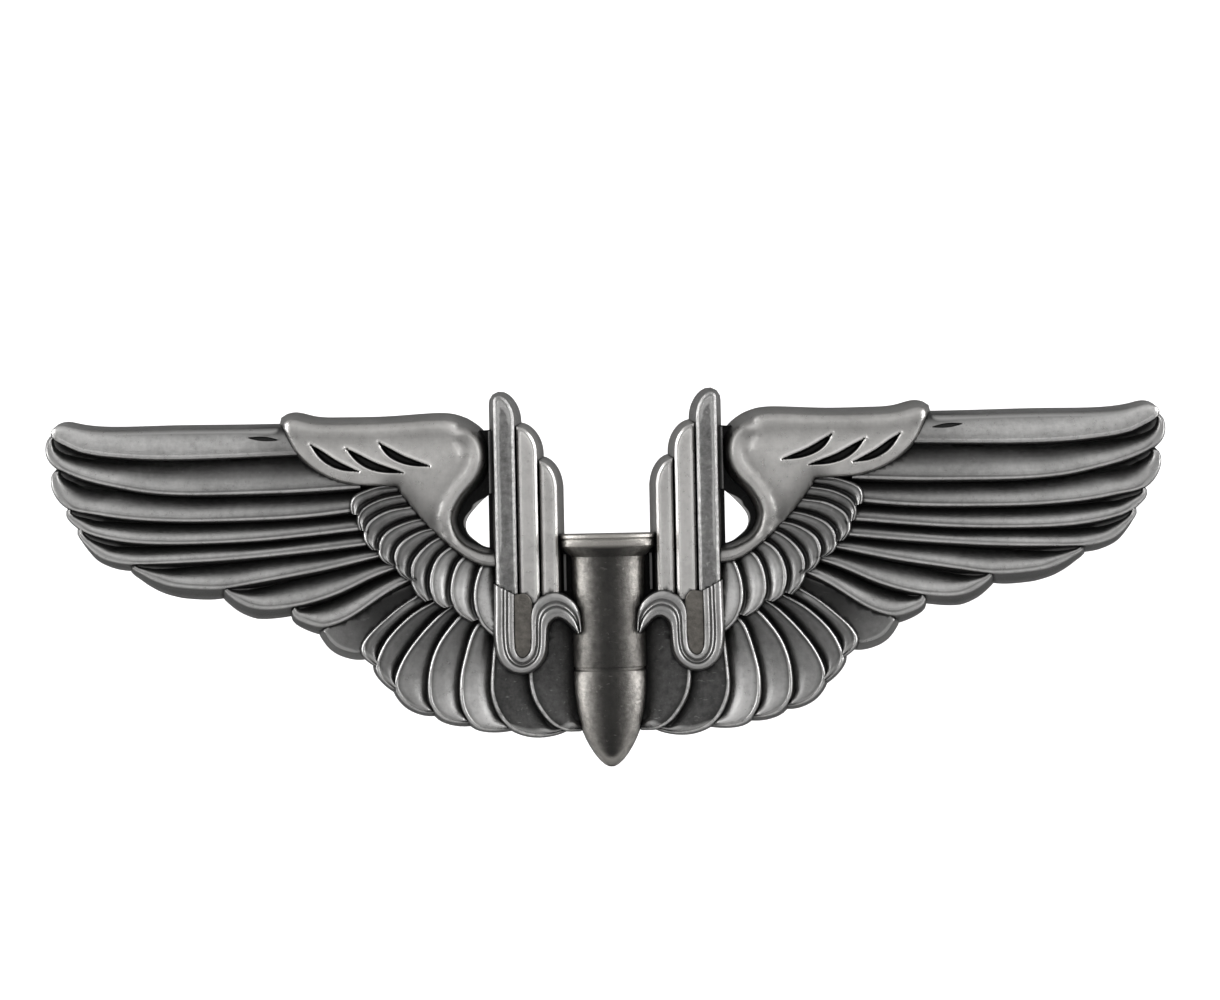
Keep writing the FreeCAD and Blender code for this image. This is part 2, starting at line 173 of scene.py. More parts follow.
def ribbon(rail_a, rail_b, section, step=0.3):
    """A solid whose cross-section runs from rail a to rail b. The rails' control points pair up.

    section(length, share) gives [(distance from rail a, height, polish), ...] for that cut.
    """
    a, b = np.asarray(rail_a, float), np.asarray(rail_b, float)
    knots = 0.5 * (chord_knots(a) + chord_knots(b))
    fine_t = np.linspace(0, knots[-1], 60 * len(a))
    fine = spline(a, knots, fine_t)
    run = np.r_[0, np.cumsum(np.linalg.norm(np.diff(fine, axis=0), axis=1))]
    count = max(int(round(run[-1] / step)), 4) + 1
    t = np.interp(np.linspace(0, run[-1], count), run, fine_t)
    pa, pb = spline(a, knots, t), spline(b, knots, t)
    rows = []
    for i in range(count):
        across = pb[i] - pa[i]
        length = np.linalg.norm(across)
        across = across / max(length, 1e-9)
        row = []
        for d, h, polish_and_painted_light in section(length, i / (count - 1)):
            q = pa[i] + across * d
            row.append((q[0], h, q[1], polish_and_painted_light))
        rows.append(row)
    return grid_solid(rows)


def pillow(loop, surface, draft=0.35, rings=(0.06, 0.14, 0.26, 0.42), spacing=0.42, extra=None):
    """A solid over an outline. surface(distance to the outline, points) gives height and polish."""
    normal = inward(loop)
    rows = [loop]
    for d in rings:
        ring = loop + normal * d
        keep = inside(ring, loop) & (distance(ring, loop, True) > 0.93 * d)
        rows.append(ring[keep])
    x0, z0 = loop.min(0)
    x1, z1 = loop.max(0)
    xs = np.arange(x0, x1, spacing)
    zs = np.arange(z0, z1, spacing * 0.866)
    gx, gz = np.meshgrid(xs, zs)
    gx = gx + (np.arange(len(zs)) % 2)[:, None] * 0.5 * spacing
    inner = np.stack([gx.ravel(), gz.ravel()], 1)
    inner = inner[inside(inner, loop)]
    inner = inner[distance(inner, loop, True) > rings[-1] + 0.5 * spacing]
    if extra is not None:
        extra = extra[inside(extra, loop)]
        gap = np.min(np.linalg.norm(inner[:, None] - extra[None], axis=2), axis=1)
        inner = inner[gap > 0.4 * spacing]
        rows.append(extra)
    rows.append(inner)
    points = np.concatenate(rows)
    n = len(loop)
    edges = [(i, (i + 1) % n) for i in range(n)]
    verts, _, tris, origin, _, _ = delaunay_2d_cdt([Vector(p) for p in points], edges, [], 1, 1e-7)
    flat = np.array([tuple(v) for v in verts])
    back = {}
    for i, sources in enumerate(origin):
        for s in sources:
            back[s] = i
    border = [back[i] for i in range(n)]
    top, polish_and_painted_light = surface(distance(flat, loop, True), flat)
    polish_and_painted_light = polish_and_painted_light * np.ones(len(flat))
    verts3 = [(p[0], h, p[1], w) for p, h, w in zip(flat, top, polish_and_painted_light)]
    foot = loop - normal * draft
    count = len(flat)
    for level in (0.0, UNDER):
        verts3 += [(p[0], level, p[1], polish_and_painted_light[i]) for p, i in zip(foot, border)]
    faces = [tuple(t) for t in tris]
    a, b, c = (flat[i] for i in faces[0][:3])
    if (b[0] - a[0]) * (c[1] - a[1]) - (b[1] - a[1]) * (c[0] - a[0]) < 0:
        faces = [f[::-1] for f in faces]
    for i in range(n):
        j = (i + 1) % n
        faces.append((border[j], border[i], count + i, count + j))
        faces.append((count + j, count + i, count + n + i, count + n + j))
    faces.append(tuple(count + n + i for i in range(n - 1, -1, -1)))
    return np.array(verts3), faces


def column(loop, low, high, polish_and_painted_light=0.1):
    """A plain prism between two heights."""
    n = len(loop)
    verts = [(p[0], h, p[1], polish_and_painted_light) for h in (high, low) for p in loop]
    faces = [tuple(range(n)), tuple(range(2 * n - 1, n - 1, -1))]
    faces += [((i + 1) % n, i, n + i, n + (i + 1) % n) for i in range(n)]
    return np.array(verts, float), faces


# ---------------- the casting's pieces
SHOULDER_H = 3.1
AXIS_H = 1.1                # the cartridge's axis, in front of the back plane


def fall(d, radius, drop):
    """How far a rounded edge has dropped at this distance inside it."""
    u = 1 - np.clip(d / radius, 0, 1)
    return drop * (1 - np.sqrt(1 - u * u))


def step_up(x, low, high):
    """0 below low, 1 above high, smooth between."""
    t = np.clip((x - low) / (high - low), 0, 1)
    return t * t * (3 - 2 * t)


FACE_SHARE = (0.0, 0.12, 0.26, 0.42, 0.6, 0.78, 0.9, 1.0)       # across a feather's open face
FACE_FADE = (1.0, 1.0, 0.78, 0.45, 0.27, 0.24, 0.36, 0.4)       # how its polish fades there
PLATEAU_FADE = (0.75, 1.0, 1.0, 1.0, 0.95, 0.85, 0.65, 0.25)    # the same for the short feathers
WALL, COVERED = 0.25, 0.02      # the polish of side walls, and of what a neighbour covers
CLEARANCE = 0.24                # a feather's face ends this far from its neighbour's edge
SINK = 0.9                      # how far a feather's end dives under its neighbour


def covered_at(edge, hidden, over):
    """How far each line from a feather's edge to its hidden side runs before its neighbour covers it."""
    steps = np.linspace(0, 1, 81)[None, :, None]
    lines = edge[:, None] * (1 - steps) + hidden[:, None] * steps
    gap = distance(lines.reshape(-1, 2), over).reshape(len(edge), -1)
    share = steps[0, np.argmin(gap, axis=1), 0]
    return share * np.linalg.norm(hidden - edge, axis=1)


def feather(edge, hidden, over, high, wall, reach, shine, bead, crown, fade, dive=(0.0, 0.0)):
    """A feather: sloping wall, thin raised bead along its edge, and a face falling to its hidden side.

    over is the edge of the feather lying on this one. high is the crest's height at the first and
    last point of the edge, wall how far the face falls before it is covered, reach the sloping
    wall's width and shine the face's polish, both at even steps along the edge. dive is the share
    of its length over which it sinks under its neighbour at the start and at the end.
    """
    edge = np.array(edge, float)
    knots = chord_knots(edge)
    share = (knots / knots[-1])[:, None]
    rail_b = np.array(hidden[0]) * (1 - share) + np.array(hidden[1]) * share
    shown = np.maximum(covered_at(edge, rail_b, sampled(over, 0.2)) - CLEARANCE, 0.3)

    def section(length, s):
        top = high[0] + (high[1] - high[0]) * s
        if dive[0]:
            top -= SINK * (1 - step_up(s, 0, dive[0]))
        if dive[1]:
            top -= SINK * step_up(s, 1 - dive[1], 1)
        out = np.interp(s, np.linspace(0, 1, len(reach)), reach)
        bright = np.interp(s, np.linspace(0, 1, len(shine)), shine)
        width = min(np.interp(s, share[:, 0], shown), 0.9 * length)
        k = min(1.0, width / 1.1)
        rows = [(-out, UNDER, WALL), (-out, 0.0, WALL), (-0.6 * out, 0.42 * top, WALL)]
        rows += [(-0.14, top - 0.34, WALL), (-0.07, top - 0.13, 0.4), (-0.01, top - 0.035, 0.7)]
        rows += [(0.06 * k, top, 0.8), (0.13 * k, top - 0.005, 0.7)]
        rows += [(0.19 * k, top - bead, 0.5 * bright), (0.27 * k, top - bead - 0.01, 0.6 * bright)]
        start, floor = 0.36 * k, top - 0.8 * bead
        drop = wall * min(1.0, width / 1.2)
        for u, polish_and_painted_light in zip(FACE_SHARE, fade):
            h = floor + crown * math.sin(math.pi * u) - drop * u**1.3
            rows.append((start + (width - start) * u, h, bright * polish_and_painted_light))
        rows.append((min(width + 0.35, 0.5 * (width + length)), floor - drop - 0.1, COVERED))
        rows += [(0.6 * length + 0.4 * width, 0.98, COVERED), (length, 0.93, COVERED)]
        return rows + [(length, UNDER, COVERED)]

    return ribbon(edge, rail_b, section)


# each feather: its edge, the two ends of its hidden side, and its side wall's width along the edge
PRIMARIES = (
    (((36.9, 9.35), (37.45, 9.1), (37.72, 8.6), (37.72, 7.9), (37.4, 7.3), (36.3, 6.6), (35, 6.1),
     (33, 5.6), (31, 5.22), (28, 5), (24, 5), (21, 5.05), (16.6, 5.25)), ((36.3, 9), (17, 7.7)),
     (0.38, 0.4, 0.65, 0.6)),
    (((36.95, 7.15), (37.38, 6.5), (37.42, 5.8), (37.2, 5.2), (36.9, 4.75), (36.2, 4.2), (35, 3.9),
     (33, 3.55), (30, 3.27), (28, 3.2), (24, 3.22), (20, 3.38), (16.6, 3.75)), ((36.4, 7.1), (16.5, 5.7)),
     (0.25, 0.5, 0.65, 0.6)),
    (((36.1, 4.6), (36.45, 4), (36.3, 3.5), (36, 3.2), (35.5, 2.77), (34, 2.2), (32, 1.85), (30, 1.72),
     (28, 1.7), (24, 1.8), (20, 2.1), (16, 2.5)), ((35.7, 4.5), (15.8, 4.2)), (0.25, 0.6, 0.65, 0.6)),
    (((35.3, 3.25), (35.72, 2.7), (35.6, 2.3), (35.3, 1.9), (34.5, 1.1), (34, 0.8), (33, 0.5), (32, 0.4),
     (30, 0.4), (26, 0.53), (24, 0.66), (20, 1), (17, 1.32), (15.5, 1.5)), ((34.7, 2.9), (15.3, 3)),
     (0.3, 0.85, 0.85, 0.65, 0.6)),
    (((32.2, 0.7), (32.1, 0.15), (31.6, -0.2), (31, -0.55), (30, -0.98), (29, -1.2), (27, -1.37),
     (26, -1.35), (25, -1.22), (23, -0.9), (20, -0.4), (18, 0), (15.2, 0.65)), ((31.7, 0.9),
     (14.9, 2)), (0.5, 0.95, 0.9, 0.65, 0.6)),
    (((25.9, -0.95), (25.9, -1.5), (25.6, -1.85), (25.2, -2.15), (24.8, -2.4), (24, -2.7), (23, -2.82),
     (21.4, -2.68), (20, -2.4), (18, -1.75), (16, -0.85), (14, -0.1)), ((25.3, -0.7), (13.9, 1.2)),
     (0.6, 0.9, 0.8, 0.65, 0.6)),
    (((21.4, -2.7), (21.3, -3.25), (20.9, -3.6), (20, -3.95), (19.3, -4.05), (18, -3.72), (17, -3.2),
     (16, -2.55), (15, -1.9), (14, -1.35), (13, -0.85)), ((20.9, -2.1), (12.9, 0.3)),
     (0.5, 0.75, 0.6, 0.6)),
)
SECONDARIES = (
    (((12.4, -1.8), (13.2, -2.3), (14, -2.8), (15, -3.6), (16, -4.5), (16.5, -5.1), (16.7, -5.6),
     (16.6, -6.05), (15.9, -6.7), (15, -7.15)), ((11.4, -2.2), (14.4, -6.6)), (0.3, 0.4, 0.4)),
    (((11.6, -2.4), (12.3, -2.8), (13, -3.2), (14, -4), (15, -5.1), (15.5, -6), (15.75, -6.8),
     (15.7, -7.2), (15.3, -7.8), (14.5, -8.45), (13.6, -8.85)), ((10.5, -2.9), (13, -8.2)),
     (0.3, 0.4, 0.5)),
    (((10.5, -2.8), (11.1, -3.2), (12, -4), (13, -5.1), (13.8, -6.2), (14.3, -7.2), (14.5, -8),
     (14.4, -8.6), (14, -9.2), (13.4, -9.7), (12.2, -10.05), (11.4, -9.95)), ((9.5, -3.3), (11, -9.4)),
     (0.3, 0.35, 0.6)),
    (((9.5, -3.1), (10.1, -3.6), (10.8, -4.4), (11.5, -5.4), (12, -6.6), (12.2, -7.6), (12.25, -8.6),
     (12.1, -9.5), (11.7, -10.1), (11.2, -10.5), (9.9, -10.75), (9, -10.6)), ((8.3, -4),
     (8.7, -10)), (0.3, 0.35, 0.65)),
    (((8.3, -3.7), (8.9, -4.2), (9.4, -5.2), (9.7, -6.2), (10, -7.4), (10.1, -8.4), (10.05, -9.4),
     (9.8, -10.2), (9.3, -10.9), (8.6, -11.25), (7.1, -11.25), (6.3, -11.05)), ((7, -4.6),
     (6.1, -10.5)), (0.3, 0.35, 0.5)),
    (((7.3, -3.4), (7.7, -5.2), (7.85, -6.4), (7.95, -7.5), (8, -8.6), (7.8, -9.6), (7.3, -10.6),
     (6.7, -11.2), (5.5, -11.68), (4.2, -11.7), (3.1, -11.4), (2.4, -11)), ((4.4, -3.4), (2.2, -10.4)),
     (0.3, 0.35, 0.42)),
    (((5.1, -3), (5.4, -5.6), (5.4, -7.5), (5.35, -8.3), (5.1, -9.3), (4.6, -10.2), (4, -10.9),
     (3.2, -11.35), (1.8, -11.4)), ((1.4, -3.2), (1.2, -10.8)), (0.3, 0.35, 0.4)),
)
# each covert: its edge and the two ends of its hidden side
COVERTS = (
    (((13.6, 5.6), (14.6, 5.35), (15.3, 5.3), (16.3, 5), (17, 4.6), (17.2, 4.1), (17.1, 3.5)),
     ((13, 4.5), (16.1, 3.2))),
    (((13, 4.85), (13.9, 4.7), (15, 4.5), (16, 4.1), (16.6, 3.6), (16.75, 3), (16.6, 2.4)),
     ((12.4, 3.5), (15.5, 2))),
    (((12.8, 4), (13.6, 3.85), (14.6, 3.7), (15.6, 3.25), (16.2, 2.7), (16.35, 2.1), (16.2, 1.5),
     (15.8, 1.05)), ((11.9, 2.7), (14.8, 0.9))),
    (((12.2, 3.1), (12.9, 3), (13.8, 2.75), (14.8, 2.25), (15.3, 1.6), (15.4, 1), (15.2, 0.4),
     (14.6, 0)), ((11.3, 2), (13.6, -0.1))),
    (((11.6, 2.4), (12.3, 2.3), (13.2, 1.95), (14, 1.35), (14.35, 0.6), (14.3, 0), (14, -0.6),
     (13.4, -1.05)), ((10.8, 1.2), (12.5, -1.1))),
    (((10.9, 1.9), (11.5, 1.7), (12.2, 1.25), (12.9, 0.5), (13.25, -0.3), (13.2, -1.2), (12.9, -1.9),
     (12.3, -2.5)), ((10.1, 0.6), (11.3, -2.2))),
    (((10.4, 1.2), (11, 0.85), (11.45, 0.4), (11.8, -0.3), (12, -1.2), (11.9, -2), (11.6, -2.6),
     (11, -2.95)), ((9.3, 0), (9.8, -2.7))),
    (((9.4, 0.6), (9.9, 0.25), (10.3, -0.4), (10.55, -1.3), (10.6, -2.1), (10.4, -2.9), (9.9, -3.5),
     (9.2, -3.9)), ((8.3, -0.3), (8.2, -3.6))),
    (((8, 0.25), (8.4, -0.05), (8.8, -0.9), (9, -1.8), (9, -2.8), (8.8, -3.6), (8.4, -4.3),
     (7.7, -4.9)), ((6.9, 0.2), (6.8, -4.5))),
)
LEADING_NECK = ((7.2, 0.6), (7.7, 0.68), (8.4, 0.8), (9, 1.05), (9.6, 1.4), (10.1, 2), (10.35, 2.8),
    (10.3, 3.3), (10, 4), (9.5, 4.7), (8.9, 5.3), (8.4, 6), (8.15, 6.8), (8.15, 7.5), (8.4, 8.3), (9, 9),
    (9.6, 9.4))
SHOULDER_TOP = ((9.6, 9.4), (10.4, 9.68), (12, 9.75), (15, 9.6), (18, 9.6), (20, 9.75), (21.2, 10),
    (21.7, 9.85))
SHOULDER_TIP = ((21.7, 9.85), (21.7, 9.5), (21.5, 9), (21, 7.95), (20.3, 7.1), (19.5, 6.45), (18.5, 5.9),
    (17.5, 5.57), (16.5, 5.4), (15, 5.32), (14.2, 5.15))
SHOULDER_FOOT = ((14.2, 5.15), (13, 3.6), (11.8, 2.2), (10.6, 1.2), (9.4, 0.3), (8.6, -0.1),
    (7.2, -0.3))
VALLEY = ((9.75, 8.3), (9.4, 7.6), (9.5, 6.8), (10.1, 5.9), (10.9, 4.9), (11.45, 3.9), (11.55, 2.9),
    (11.2, 2.1))
SLITS = (
    (((19.85, 8.2), (19.3, 7.36), (18.6, 6.78), (17.75, 6.44), (16.6, 6.32)), ((16.6, 6.32), (17.55, 6.8),
     (18.3, 7.22), (19.05, 7.74), (19.85, 8.2))),
    (((17.45, 7.9), (16.85, 7.1), (15.9, 6.47), (14.85, 6.22), (13.6, 6.18)), ((13.6, 6.18),
     (14.65, 6.58), (15.55, 6.93), (16.5, 7.43), (17.45, 7.9))),
    (((15.25, 8.25), (14.75, 7.45), (13.9, 6.9), (12.95, 6.64), (11.8, 6.58)), ((11.8, 6.58),
     (12.75, 6.98), (13.55, 7.31), (14.35, 7.75), (15.25, 8.25))),
)


def signed(points, loop):
    """The distance to a loop, negative inside it."""
    return distance(points, loop, True) * np.where(inside(points, loop), -1, 1)


def shoulder():
    """The wing's smooth shoulder, with a gully beside its neck and three slits."""
    loop = outline(SHOULDER_TOP, SHOULDER_TIP, SHOULDER_FOOT,
                   ((7.2, -0.3), (7.2, 0.6)), LEADING_NECK)
    neck, foot = sampled(LEADING_NECK, 0.16), sampled(SHOULDER_FOOT, 0.2)
    top, tip = sampled(SHOULDER_TOP, 0.2), sampled(SHOULDER_TIP, 0.2)
    valley = sampled(VALLEY, 0.2)
    slits = [outline(a, b, step=0.12) for a, b in SLITS]
    extra = []
    for slit in slits:
        normal = inward(slit)
        extra += [slit + normal * d for d in (0.16, 0.07, -0.02, -0.09, -0.17, -0.28)]

    def surface(_, p):
        h = SHOULDER_H + 0.12 * np.exp(-(((p[:, 0] - 12.5) / 3.5) ** 2 + ((p[:, 1] - 6.5) / 2.5) ** 2))
        from_neck, from_top = distance(p, neck), distance(p, top)
        from_tip, from_foot = distance(p, tip), distance(p, foot)
        h -= fall(from_neck, 1.15, 1.0) + fall(from_top, 1.0, 0.6) + fall(from_tip, 0.6, 0.45)
        h -= fall(from_foot, 2.6, 1.0) * (0.35 + 0.65 * step_up(from_neck, 0.4, 1.6))
        fade = np.clip((p[:, 1] - 1.2) / 1.5, 0, 1) * np.clip((9.1 - p[:, 1]) / 1.0, 0, 1)
        gully = fade * np.exp(-((distance(p, valley) / 0.5) ** 2))
        h -= 0.36 * gully
        # the gully is also coloured darker: painted shade
        polish_and_painted_light = 0.92 * (0.4 + 0.6 * step_up(from_foot, 0.1, 1.8)) - 0.22 * gully
        # a painted highlight along the rounded band beside the neck
        polish_and_painted_light += 0.14 * np.exp(-(((from_neck - 0.8) / 0.45) ** 2))
        polish_and_painted_light -= 0.26 * step_up(p[:, 1], 7.4, 8.8)
        # a painted shade line below the rolled top edge
        polish_and_painted_light -= 0.1 * np.exp(-(((from_top - 1.0) / 0.35) ** 2))
        polish_and_painted_light -= 0.12 * (1 - step_up(from_tip, 0.0, 0.35))
        for slit in slits:
            d = signed(p, slit)
            h -= 0.6 * step_up(-d, 0.0, 0.1)
            h += 0.08 * np.exp(-(((d - 0.09) / 0.08) ** 2)) * (d > 0)
            polish_and_painted_light = np.where(d < -0.01, 0.02, polish_and_painted_light + 0.15 * np.exp(-(((d - 0.1) / 0.08) ** 2)))
        return h, np.clip(polish_and_painted_light, 0, 1)

    return pillow(loop, surface, draft=0.5, rings=(0.06, 0.15, 0.3, 0.5, 0.75, 1.0), spacing=0.3,
                  extra=np.concatenate(extra))


TOP_PRIMARY_EDGE = ((37.5, 9.2), (37.3, 9), (36.9, 8.72), (36.3, 8.4), (35.5, 8.05), (33, 7.62),
    (31, 7.46), (28, 7.4), (25, 7.44), (20.4, 7.55))


def top_primary():
    """The wing's top feather, rounded along its crest as well as along its lower edge."""
    crest = ((20.4, 9.45), (25, 9.45), (30, 9.48), (34.5, 9.52), (36, 9.75), (36.7, 9.87),
             (37.2, 9.72), (37.45, 9.45), (37.5, 9.2))
    loop = outline(TOP_PRIMARY_EDGE, ((20.4, 7.55), (20.4, 9.45)), crest)
    edge, top = sampled(TOP_PRIMARY_EDGE, 0.3), sampled(crest, 0.3)
    pit = outline(((24.3, 8.78), (23.2, 8.52), (21.9, 8.55)), ((21.9, 8.55), (23.0, 8.82), (24.3, 8.78)),
                  step=0.15)

    def surface(_, p):
        d, c = distance(p, edge), distance(p, top)
        s = np.clip(d / 2.1, 0, 1)
        h = 2.38 + 0.06 * np.sin(np.pi * s) - 0.42 * s**2.2
        h -= fall(d, 0.2, 0.1) + fall(c, 0.55, 0.32)
        h -= 0.035 * np.exp(-(((d - 0.27) / 0.07) ** 2))
        in_pit = np.clip(-signed(p, pit) / 0.08, 0, 1)
        h -= 0.22 * in_pit
        polish_and_painted_light = 0.8 - 0.42 * step_up(s, 0.45, 0.85) - 0.3 * step_up(-p[:, 0], -25.5, -22.0)
        # the tip is coloured darker to mute its glint: painted shade
        polish_and_painted_light -= 0.4 * step_up(p[:, 0], 36.9, 37.4)
        return h, np.clip(polish_and_painted_light - in_pit, 0.03, 1)

    extra = np.concatenate([pit, pit + 0.05 * inward(pit), pit - 0.06 * inward(pit)])
    return pillow(loop, surface, draft=0.3, rings=(0.05, 0.12, 0.2, 0.28, 0.36), extra=extra)


def last_primary():
    """The lowest primary, which both of its neighbours overlap."""
    loop = outline(((19.35, -4.4), (18.95, -5.05), (18.5, -5.5), (17.8, -5.82), (17.0, -5.95),
                    (16.0, -5.75)),
                   ((16.0, -5.75), (11.8, -2.2)), ((11.8, -2.2), (12.4, -0.9)),
                   ((12.4, -0.9), (18.7, -3.4)), ((18.7, -3.4), (19.35, -4.4)))

    def surface(d, p):
        along = (p[:, 0] - 12) * 0.83 - (p[:, 1] + 1.5) * 0.55
        h = 1.2 + 0.1 * np.clip(along, 0, 9) - fall(d, 0.16, 0.1)
        # a painted highlight along the rim
        rim = np.exp(-(((d - 0.14) / 0.09) ** 2))
        return h, 0.06 + 0.3 * step_up(along, 3.5, 8.5) + 0.22 * rim

    return pillow(loop, surface, draft=0.55)


BARS = (        # height, shine, left side, foot, and the crown from right to left
    (3.4, 0.3, 6.12, -2.6, ((7.5, 10.75), (7.42, 11.08), (7.12, 11.22), (6.78, 11.08), (6.4, 10.62),
                            (6.18, 10.05), (6.12, 9.45))),
    (3.28, 0.95, 4.64, -3.2, ((5.98, 9.12), (5.55, 9.02), (5.12, 8.68), (4.8, 8.15), (4.66, 7.6),
                              (4.64, 7.1))),
    (3.16, 0.9, 3.34, -3.2, ((4.48, 6.8), (4.1, 6.66), (3.72, 6.28), (3.45, 5.7), (3.34, 5.1))),
)


def bar(level, shine, left, foot, crown):
    """One step of the pylon: a flat top inside a fine groove and a bevelled rim."""
    right = crown[0][0]
    loop = outline(((left, foot), (right, foot)), ((right, foot), crown[0]), crown,
                   (crown[-1], (left, foot)), step=0.2)

    def surface(d, _):
        h = level - 0.16 * (1 - np.clip(d / 0.15, 0, 1)) - 0.04 * np.exp(-(((d - 0.24) / 0.05) ** 2))
        return h, np.where(d < 0.22, 0.5 + 0.4 * shine, shine)

    return pillow(loop, surface, draft=0.42, rings=(0.05, 0.15, 0.2, 0.25, 0.31), spacing=0.3)


SCROLL_OUTER = ((7.62, -1.45), (7.65, -3.4), (7.65, -5.4), (7.35, -6.55), (6.7, -7.22), (5.9, -7.45),
    (5.12, -7.22), (4.47, -6.55), (4.22, -5.6), (4.17, -4.75), (4.02, -4.15), (3.68, -3.82),
    (3.28, -3.78), (2.88, -4.02), (2.45, -4.45), (2.1, -4.86))
SCROLL_INNER = ((6.32, -2.15), (6.35, -3.6), (6.35, -5.3), (6.3, -5.88), (6.14, -6.22), (5.88, -6.38),
    (5.6, -6.28), (5.35, -5.95), (5.25, -5.3), (5.24, -4.3), (5.15, -3.15), (4.6, -2.4), (3.6, -2.05),
    (2.65, -2.45), (2, -3.35), (1.88, -4.72))
SCROLL_H = 3.78


def scroll_section(length, share):
    """Across the moulding: a broad rounded band outside, then two fine beads."""
    top = SCROLL_H - 0.25 * max(0.0, (share - 0.85) / 0.15)
    rows = [(-0.3, UNDER, 0.2), (-0.3, 0.0, 0.2), (-0.08, top - 0.75, 0.3), (-0.02, top - 0.45, 0.5)]
    shape = ((0.02, -0.24, 0.6), (0.07, -0.1, 0.65), (0.14, -0.03, 0.5), (0.22, 0.0, 0.42),
             (0.31, -0.02, 0.42), (0.38, -0.08, 0.4), (0.42, -0.16, 0.22), (0.46, -0.17, 0.22),
             (0.49, -0.1, 0.6), (0.52, -0.08, 0.6), (0.56, -0.12, 0.4), (0.60, -0.18, 0.2),
             (0.66, -0.19, 0.2), (0.71, -0.12, 0.6), (0.77, -0.08, 0.6), (0.86, -0.1, 0.5),
             (0.96, -0.2, 0.4))
    rows += [(s * length, top + h, polish_and_painted_light) for s, h, polish_and_painted_light in shape]
    rows += [(length + 0.03, top - 0.5, 0.2), (length + 0.05, UNDER, 0.2)]
    return rows


def scroll_panel():
    """The flat, stained panel inside the scroll."""
    loop = outline(((6.55, -1.95), (6.55, -5.4)), ((6.55, -5.4), (6.3, -6.2), (5.88, -6.5),
                   (5.4, -6.2), (5.1, -5.4)), ((5.1, -5.4), (5.1, -3.2)),
                   ((5.1, -3.2), (5.2, -2.55), (5.6, -2.1), (5.95, -2.12)),
                   ((5.95, -2.12), (6.2, -2.15), (6.45, -2.05), (6.55, -1.95)))
    return pillow(loop, lambda d, _: (3.42 - fall(d, 0.12, 0.06), 0.24), draft=0.1)


CASE_R = 2.45
# painted reflection: the bullet's polish by how far its surface turns from the camera, bright on the
# flanks and dark in the middle
BULLET_PAINTED_REFLECTION = ((0, 0.2, 0.4, 0.55, 0.68, 0.8, 0.92, 1.0),
                (0.05, 0.07, 0.18, 0.36, 0.56, 0.68, 0.66, 0.5))


def cartridge():
    """Half a turned case and bullet, a little flattened, with its sides carried down to the back."""
    profile = ((1.84, 3.05), (1.82, 3.18), (1.74, 3.26), (1.56, 3.28), (1.5, 3.22), (1.43, 3.2),
               (1.36, 3.24), (1.0, 3.22), (0.94, 3.18), (0.36, 2.58), (0.28, 2.5), (0.1, 2.46),
               (-1.0, 2.45), (-3.0, 2.45), (-5.0, 2.45), (-7.1, 2.45), (-7.17, 2.42),
               (-7.21, 2.35), (-7.33, 2.33), (-7.39, 2.36), (-7.45, 2.42), (-7.55, 2.44),
               (-8.2, 2.43), (-9, 2.38), (-10.2, 2.24), (-11.0, 2.06), (-11.6, 1.87),
               (-12.2, 1.62), (-12.7, 1.36), (-13.2, 1.05), (-13.6, 0.74), (-13.85, 0.47),
               (-14.0, 0.2))
    rows = []
    for z, r in profile:
        angles = np.linspace(0, math.pi, 41)
        row = [(r + 0.12, UNDER, z, 0.2), (r + 0.12, 0.0, z, 0.2)]
        spring = AXIS_H + 0.8 * r / CASE_R
        for a in angles:
            # painted reflection: bright flanks and a dark middle
            polish_and_painted_light = np.interp(abs(math.cos(a)), *BULLET_PAINTED_REFLECTION)
            row.append((r * math.cos(a), spring + (AXIS_H + r - spring) * math.sin(a), z, polish_and_painted_light))
        row += [(-r - 0.12, 0.0, z, 0.2), (-r - 0.12, UNDER, z, 0.2)]
        rows.append(row)
    return grid_solid(rows)


SECONDARY_SHINE = ((0.12, 0.2, 0.3, 0.3), (0.1, 0.2, 0.35, 0.35), (0.1, 0.25, 0.55, 0.6),
                   (0.1, 0.35, 0.75, 0.7), (0.12, 0.4, 0.85, 1.0, 0.9), (0.1, 0.12, 0.12),
                   (0.1, 0.14, 0.14))
COVERT_SHINE = ((0.3, 0.25, 0.2), (0.35, 0.25, 0.2), (0.4, 0.3, 0.2), (0.4, 0.3, 0.22),
                (0.3, 0.3, 0.25), (0.2, 0.4, 0.3), (0.15, 0.8, 0.6), (0.15, 1.0, 0.8),
                (0.15, 0.95, 0.85))
PRIMARY_SHINE = (0.62, 0.7, 0.64, 0.48, 0.32)
COVERT_REACH = (0.3, 0.3)
BULLET_SIDE = ((2.5, -2.8), (2.45, -8), (2.1, -11.5))       # where the bullet hides the last feather
BACKING = ((10.2, 9.1), (20.5, 9.2), (35, 9.2), (36.6, 8.5), (36.4, 5), (34.8, 2.6), (31, 0.6),
    (26, -1), (20, -3.2), (17.5, -5), (15, -6.8), (12, -9.3), (7, -10.6), (1, -10.6), (1, 0.7),
    (7.7, 0.7), (9.4, 0.7), (10.6, 2), (10.6, 3.8), (9.4, 5.6), (9, 7.2))
WEB = ((7.3, 9.05), (9.6, 8.9), (8.9, 7.2), (9.6, 5.4), (10.6, 3.4), (10.4, 1.4), (9, 0.5), (7.3, 0.3))
RIBS = ((7.62, 7.92, 4.7, 8.9), (2.83, 2.98, -2.0, 0.45))
RIB_H = 1.9


def feather_row(feathers, over, *form, **options):
    """Feathers that each lie under the one before; the first lies under over."""
    solids = []
    for edge, hidden, reach, shine in feathers:
        solids.append(feather(edge, hidden, over, *form, reach, shine, **options))
        over = edge
    return solids


